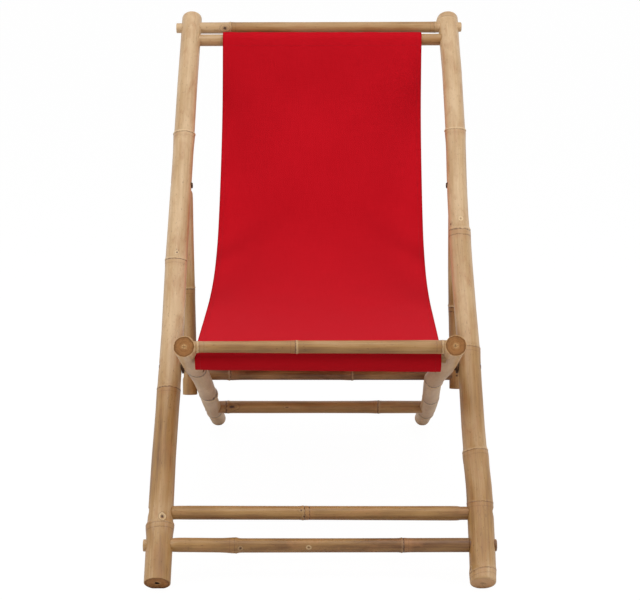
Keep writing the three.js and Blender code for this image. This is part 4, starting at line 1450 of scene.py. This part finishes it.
class OBJECT_OT_deck_chair_stage(DeckChairOperator):
    """Add the white floor, the soft lights and the white surroundings"""

    bl_idname = "object.deck_chair_stage"
    bl_label = "Stage"

    # name, place, aim, width, height and power
    LIGHTS = (
        ("top_light", (0, -0.9, 3.4), (0, 0, 0.4), 3.0, 3.0, 42),
        ("left_light", (-2.3, -1.2, 1.6), (0, 0, 0.5), 0.5, 2.0, 19),
        ("right_light", (2.3, -1.2, 1.6), (0, 0, 0.5), 0.5, 2.0, 19),
    )
    FLOOR_HALF = 14
    FLOOR_GREY = (0.82, 0.82, 0.82)
    FLOOR_GLOW = 1.02
    SHADOW_SHARE = 0.05
    SURROUNDINGS = 0.5
    WHITE = (1, 1, 1)

    def execute(self, context):
        context.scene.view_settings.view_transform = "Standard"
        self.add_floor(context)
        self.set_world(context)
        for name, spot, aim, width, height, power in self.LIGHTS:
            data = bpy.data.lights.new(name, "AREA")
            data.shape = "RECTANGLE"
            data.size = width
            data.size_y = height
            data.energy = power
            lamp = bpy.data.objects.new(name, data)
            lamp.location = spot
            lamp.rotation_euler = (Vector(aim) - Vector(spot)).to_track_quat("-Z", "Y").to_euler()
            context.scene.collection.objects.link(lamp)
        return {"FINISHED"}

    def add_floor(self, context):
        """A pale floor that the camera sees as white, with a faint shadow of the chair."""
        half = self.FLOOR_HALF
        corners = [(-half, -half, 0), (half, -half, 0), (half, 2 * half, 0), (-half, 2 * half, 0)]
        floor = bpy.data.objects.new("floor", new_mesh("floor", corners, [(0, 1, 2, 3)]))
        context.scene.collection.objects.link(floor)
        g = Graph("white_floor")
        pale = g.shader("ShaderNodeBsdfDiffuse", Color=self.FLOOR_GREY)
        glow = g.shader("ShaderNodeEmission", Strength=self.FLOOR_GLOW)
        shadowed = g.shader("ShaderNodeBsdfDiffuse", Color=self.WHITE)
        seen = g.either(self.SHADOW_SHARE, glow, shadowed)
        to_camera = g.node("ShaderNodeLightPath").outputs["Is Camera Ray"]
        floor.data.materials.append(g.finish(g.either(to_camera, pale, seen)))

    def set_world(self, context):
        """Dim surroundings that the camera, gloss and glass see as white."""
        g = Graph("white_surroundings", bpy.data.worlds, "ShaderNodeOutputWorld")
        rays = g.node("ShaderNodeLightPath").outputs
        kinds = ("Is Camera Ray", "Is Glossy Ray", "Is Transmission Ray")
        seen = g.math("MAXIMUM", *[rays[kind] for kind in kinds])
        shine = g.shader("ShaderNodeBackground", Color=self.WHITE, Strength=self.SURROUNDINGS)
        white = g.shader("ShaderNodeBackground", Color=self.WHITE)
        context.scene.world = g.finish(g.either(seen, shine, white))


class OBJECT_OT_deck_chair_poles(DeckChairOperator):
    """Build the six poles of the three frames"""

    bl_idname = "object.deck_chair_poles"
    bl_label = "Poles"

    def execute(self, context):
        halves = half_spacings(context.scene.deck_chair_sizes)
        poles = [
            *back_stems(halves["back_frame"]),
            *seat_stems(halves["seat_frame"]),
            *prop_stems(halves["prop_frame"]),
        ]
        for seed, stem in enumerate(poles, start=1):
            add_stem(context, stem, seed)
        return {"FINISHED"}


class OBJECT_OT_deck_chair_rails(DeckChairOperator):
    """Build the rails, rungs and sling bars that cross the frames"""

    bl_idname = "object.deck_chair_rails"
    bl_label = "Rails and rungs"

    def execute(self, context):
        for seed, stem in enumerate(rail_stems(), start=11):
            add_stem(context, stem, seed)
        return {"FINISHED"}


# The cloth


def pocket_line(centre, radius, leaving, turn, closing):
    """Points round a pocket, from where the cloth leaves it to the end of its hem, as [back, up]."""
    steps, hem_steps = 28, 8
    tail = math.radians(30)
    start = leaving + turn * math.pi / 2
    sweep = math.pi + 2 * tail
    points = []
    for i in range(steps + 1):
        around = start + turn * sweep * i / steps
        points.append(np.array(centre) + radius * np.array([math.cos(around), math.sin(around)]))
    rising = start + turn * (sweep + math.pi / 2)
    direction = np.array([math.cos(rising), math.sin(rising)])
    reach = (radius * (1 + math.cos(2 * tail)) - closing) / math.sin(2 * tail)
    for i in range(1, hem_steps + 1):
        points.append(points[steps] + direction * reach * i / hem_steps)
    return points


def curve_through(points, steps):
    """A smooth curve through the points, with evenly spaced steps along it."""
    parts = 24
    points = [np.array(p) for p in points]
    fine = []
    for i in range(len(points) - 1):
        before = points[max(i - 1, 0)]
        a, b = points[i], points[i + 1]
        after = points[min(i + 2, len(points) - 1)]
        v0, v1 = (b - before) / 2, (after - a) / 2
        for j in range(parts):
            t = j / parts
            cubic = (2 * a - 2 * b + v0 + v1) * t**3
            fine.append(cubic + (-3 * a + 3 * b - 2 * v0 - v1) * t**2 + v0 * t + a)
    fine.append(points[-1])
    fine = np.array(fine)
    run = run_along(fine)
    wanted = np.linspace(0, run[-1], steps + 1)
    return np.stack([np.interp(wanted, run, fine[:, k]) for k in (0, 1)], axis=-1)


def run_along(line):
    """Distance along the line to each of its points."""
    return np.concatenate([[0], np.cumsum(np.hypot(*np.diff(line, axis=0).T))])


# The cloth's line between its two bars: [share of the run back, share of the rise]
SLING_SHARES = (
    (0.137, 0.036),
    (0.257, 0.044),
    (0.417, 0.058),
    (0.55, 0.09),
    (0.655, 0.146),
    (0.757, 0.25),
    (0.873, 0.475),
    (0.952, 0.713),
)


def sling_path(sizes):
    """The cloth's line from one hem to the other, and how many of its points lie in each pocket."""
    frames = frames_of(sizes)
    front = frames["seat_frame"] @ (Vector((0, *CROSSINGS["front_sling_bar"])) * MM)
    top = frames["back_frame"] @ (Vector((0, *CROSSINGS["top_sling_bar"])) * MM)
    run, rise = top.y - front.y, top.z - front.z
    hem_gap, between_steps = 0.001, 150
    closing = 2 * sizes.cloth + hem_gap
    front_middle = (front.y, front.z - sizes.front_pocket_drop)
    top_middle = (top.y, top.z + sizes.top_pocket_lift)
    front_leaving, top_leaving = 0.03, -math.pi / 2 - 0.16
    front_loop = pocket_line(front_middle, sizes.front_pocket, front_leaving, 1, closing)
    top_loop = pocket_line(top_middle, sizes.top_pocket, top_leaving, -1, closing)
    between = [front_loop[0]]
    between += [(front.y + back * run, front.z + up * rise) for back, up in SLING_SHARES]
    between.append(top_loop[0])
    middle = curve_through(between, between_steps)
    line = np.array([*front_loop[::-1], *middle[1:-1], *top_loop])
    return line, len(front_loop), len(top_loop)


class Cloth:
    """The sling's surface: points by place along the cloth's run and place across it, in metres."""

    DISH = 0.007
    # Small folds beside each pocket: their seeds, how many, how high and how far they reach
    FOLD_SEEDS = (3, 8)
    FOLDS = 5
    FOLD_HEIGHT = 0.00022
    FOLD_REACH = 0.055
    # Slow waves between the pockets: seed, how many, how high, and how far from a pocket they start
    WAVE_SEED = 21
    WAVES = 7
    WAVE_HEIGHT = 0.0005
    WAVE_START = 0.1

    def __init__(self, sizes):
        self.line, in_front, in_top = sling_path(sizes)
        self.sizes = sizes
        self.half, self.thick, self.hem = sizes.sling_half, sizes.cloth, sizes.hem
        self.run = run_along(self.line)
        self.first, self.last = self.run[in_front], self.run[-in_top - 1]
        self.bar_height = self.line[: in_front - 1, 1].mean()
        tangent = np.gradient(self.line, axis=0)
        tangent /= np.hypot(*tangent.T)[:, None]
        self.normal = np.stack([-tangent[:, 1], tangent[:, 0]], axis=-1)

    def share(self, run):
        """0 at the front pocket and 1 at the top one."""
        return np.clip((run - self.first) / (self.last - self.first), 0, 1)

    def lift(self, run, x):
        """Of the cloth's middle above its line: the dish of the seat, small folds and slow waves."""
        lift = -self.DISH * np.sin(math.pi * self.share(run)) * (1 - (x / self.half) ** 2)
        for edge, seed in zip((self.first, self.last), self.FOLD_SEEDS):
            noise = random.Random(seed)
            near = hump(run - edge, self.FOLD_REACH)
            for _ in range(self.FOLDS):
                waves = noise.uniform(60, 130)
                wave = np.sin(waves * x + noise.uniform(0, 6.3) + 9 * (run - edge))
                lift = lift + self.FOLD_HEIGHT * near * wave
        starting = np.clip((run - self.first) / self.WAVE_START, 0, 1)
        between = starting * np.clip((self.last - run) / self.WAVE_START, 0, 1)
        noise = random.Random(self.WAVE_SEED)
        for _ in range(self.WAVES):
            kx, kr = noise.uniform(4, 22), noise.uniform(4, 16)
            wave = np.sin(kx * x + noise.uniform(0, 6.3)) * np.sin(kr * run + noise.uniform(0, 6.3))
            lift = lift + self.WAVE_HEIGHT * between * wave
        return lift

    def points(self, run, x, offset):
        """Points of the surface that lies so far above the cloth's middle."""
        sizes, share = self.sizes, self.share(run)
        out = self.lift(run, x) + offset
        ahead, up, ahead_out, up_out = (
            np.interp(run, self.run, values) for values in (*self.line.T, *self.normal.T)
        )
        across = x * (1 + sizes.sling_flare / self.half * (1 - share))
        shift_change = sizes.sling_shift_top - sizes.sling_shift_front
        across = across + sizes.sling_shift_front + shift_change * share
        below = np.clip((self.bar_height - up) / sizes.front_pocket, 0, 1) * (share == 0)
        up = up - sizes.front_pocket_skew * (1 + x / self.half) / 2 * below
        return np.stack([across, ahead + ahead_out * out, up + up_out * out], axis=-1)


class OBJECT_OT_deck_chair_sling(DeckChairOperator):
    """Build the canvas sling with its pockets, hems and stitching"""

    bl_idname = "object.deck_chair_sling"
    bl_label = "Canvas sling"

    # Columns of points near the cloth's side, in metres inwards from it, and beside the hem's edge
    SIDE_STEPS = (0, 0.0004, 0.003, 0.007)
    HEM_STEP = 0.0004
    INNER_STEP = 0.001
    INNER_COLUMNS = 46
    # The outermost columns keep this share of the thickness, for a rounded edge
    ROUNDING = 0.3
    # Less than any step between columns, to tell them apart
    NEAR = 0.0001
    # Painted shade of the side hems: where the darker line along the edge starts, and over how much it
    # deepens
    EDGE_LINE = 0.0035
    EDGE_SOFT = 0.003

    def execute(self, context):
        cloth = Cloth(context.scene.deck_chair_sizes)
        half, thick, hem, run = cloth.half, cloth.thick, cloth.hem, cloth.run
        innermost = half - hem - self.INNER_STEP
        inner = np.linspace(-innermost, innermost, self.INNER_COLUMNS)
        edge = half - np.array([*self.SIDE_STEPS, hem, hem + self.HEM_STEP])
        columns = np.concatenate([-edge, inner, edge[::-1]])
        grid_run, grid_x = np.meshgrid(run, columns, indexing="ij")
        hemmed = np.where(np.abs(grid_x) > half - hem - self.NEAR, thick, 0)
        rounding = np.where(np.abs(grid_x) > half - 2 * self.NEAR, self.ROUNDING, 1.0)
        above = cloth.points(grid_run, grid_x, thick / 2 * rounding)
        below = cloth.points(grid_run, grid_x, -(thick / 2 + hemmed) * rounding)
        points = np.concatenate([above.reshape(-1, 3), below.reshape(-1, 3)])
        mesh = new_mesh("sling_cloth", points, self.closed_faces(*grid_run.shape))
        flat = np.stack([grid_x, grid_run, np.zeros_like(grid_x)], axis=-1).reshape(-1, 3)
        # Painted shade along the side hems
        outermost = np.clip((np.abs(grid_x) - half + self.EDGE_LINE) / self.EDGE_SOFT, 0, 1).ravel()
        add_attribute(mesh, "cloth_place", np.concatenate([flat, flat]))
        add_attribute(mesh, "edge", np.concatenate([outermost, outermost]))
        shade_smooth(mesh, CLOTH_EDGE)
        sling = new_object(context, "sling_cloth", mesh, None, "canvas", material(context, "red_canvas"))
        stitches = self.add_stitches(context, cloth)
        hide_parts("canvas_sling")
        self.follow_both_frames(sling)
        self.follow_both_frames(stitches)
        return {"FINISHED"}

    def closed_faces(self, rows, wide):
        """Both faces of the cloth and the four edges that join them."""
        top_faces = grid_faces(rows, wide, closed=False)
        shift = rows * wide
        faces = top_faces + [tuple(i + shift for i in reversed(f)) for f in top_faces]
        steps = []
        for row in range(rows - 1):
            here, after = row * wide, (row + 1) * wide
            steps += [(here, after), (after + wide - 1, here + wide - 1)]
        last = (rows - 1) * wide
        for column in range(wide - 1):
            steps += [(column + 1, column), (last + column, last + column + 1)]
        return faces + [(a, b, b + shift, a + shift) for a, b in steps]

    # Stitches: their pitch, half length and half width, and their height above the cloth
    PITCH = 0.0042
    REACH = 0.0014
    WIDTH = 0.00036
    ABOVE = 0.00012
    # Side seams from the cloth's side, and where they end; cross seams beside the pockets and the
    # hems' ends, and where they end
    SIDE_SEAM, SIDE_MARGIN = 0.0095, 0.012
    POCKET_SEAM, END_SEAM, CROSS_MARGIN = 0.007, 0.005, 0.006

    def stitch_rows(self, cloth):
        """Rows of stitches: [places along, places across, height, whether they run lengthways]."""
        run_end = cloth.run[-1]
        on_top, on_hem = cloth.thick / 2 + self.ABOVE, -1.5 * cloth.thick - self.ABOVE
        seam = cloth.half - self.SIDE_SEAM
        down = np.arange(self.SIDE_MARGIN, run_end - self.SIDE_MARGIN, self.PITCH)
        over = np.arange(-cloth.half + self.CROSS_MARGIN, cloth.half - self.CROSS_MARGIN, self.PITCH)
        pockets = (cloth.first + self.POCKET_SEAM, cloth.last - self.POCKET_SEAM)
        rows = []
        for x in (-seam, seam):
            for height in (on_top, on_hem):
                rows.append((down, np.full(down.shape, x), height, True))
        for place in (self.END_SEAM, *pockets, run_end - self.END_SEAM):
            rows.append((np.full(over.shape, place), over, on_top, False))
        return rows

    def add_stitches(self, context, cloth):
        """Thread along both side hems, on both faces of the cloth, and across it at both pockets."""
        points, faces = [], []
        for run, x, height, lengthways in self.stitch_rows(cloth):
            d_run, d_x = (self.REACH, 0) if lengthways else (0, self.REACH)
            w_run, w_x = (0, self.WIDTH) if lengthways else (self.WIDTH, 0)
            corners = [
                cloth.points(run - d_run, x - d_x, height),
                cloth.points(run + d_run, x + d_x, height),
                cloth.points(run - w_run, x - w_x, height),
                cloth.points(run + w_run, x + w_x, height),
                cloth.points(run, x, height - self.WIDTH),
                cloth.points(run, x, height + self.WIDTH),
            ]
            for each in zip(*corners):
                first = len(points)
                points += each
                middle = sum(each) / len(each)
                for face in itertools.product((0, 1), (2, 3), (4, 5)):
                    a, b, c = (each[i] for i in face)
                    if np.dot(np.cross(b - a, c - a), a - middle) < 0:
                        face = face[::-1]
                    faces.append(tuple(first + i for i in face))
        mesh = new_mesh("sling_stitching", points, faces)
        mesh.polygons.foreach_set("use_smooth", [True] * len(faces))
        mesh.update()
        thread = material(context, "sewing_thread")
        return new_object(context, "sling_stitching", mesh, None, "canvas", thread)

    def follow_both_frames(self, piece):
        """Bake the piece's placement into its mesh; it is tied to neither frame."""
        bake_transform(piece)


class VIEW3D_PT_deck_chair(bpy.types.Panel):
    """Lists the steps that build the chair"""

    bl_label = "Deck Chair"
    bl_space_type = "VIEW_3D"
    bl_region_type = "UI"
    bl_category = "Deck Chair"

    def draw(self, context):
        for step in STEPS:
            self.layout.operator(step.bl_idname)


STEPS = (
    OBJECT_OT_deck_chair_camera,
    OBJECT_OT_deck_chair_stage,
    OBJECT_OT_deck_chair_poles,
    OBJECT_OT_deck_chair_rails,
    OBJECT_OT_deck_chair_pegs,
    OBJECT_OT_deck_chair_fasteners,
    OBJECT_OT_deck_chair_sling,
)
CLASSES = (DeckChairSizes, DeckChairColours, *STEPS, VIEW3D_PT_deck_chair)


def register():
    for each in CLASSES:
        bpy.utils.register_class(each)
    bpy.types.Scene.deck_chair_sizes = bpy.props.PointerProperty(type=DeckChairSizes)
    bpy.types.Scene.deck_chair_colours = bpy.props.PointerProperty(type=DeckChairColours)


def unregister():
    del bpy.types.Scene.deck_chair_colours
    del bpy.types.Scene.deck_chair_sizes
    for each in reversed(CLASSES):
        bpy.utils.unregister_class(each)


def main():
    register()
    for step in STEPS:
        group, name = step.bl_idname.split(".")
        getattr(getattr(bpy.ops, group), name)()


if __name__ == "__main__":
    main()
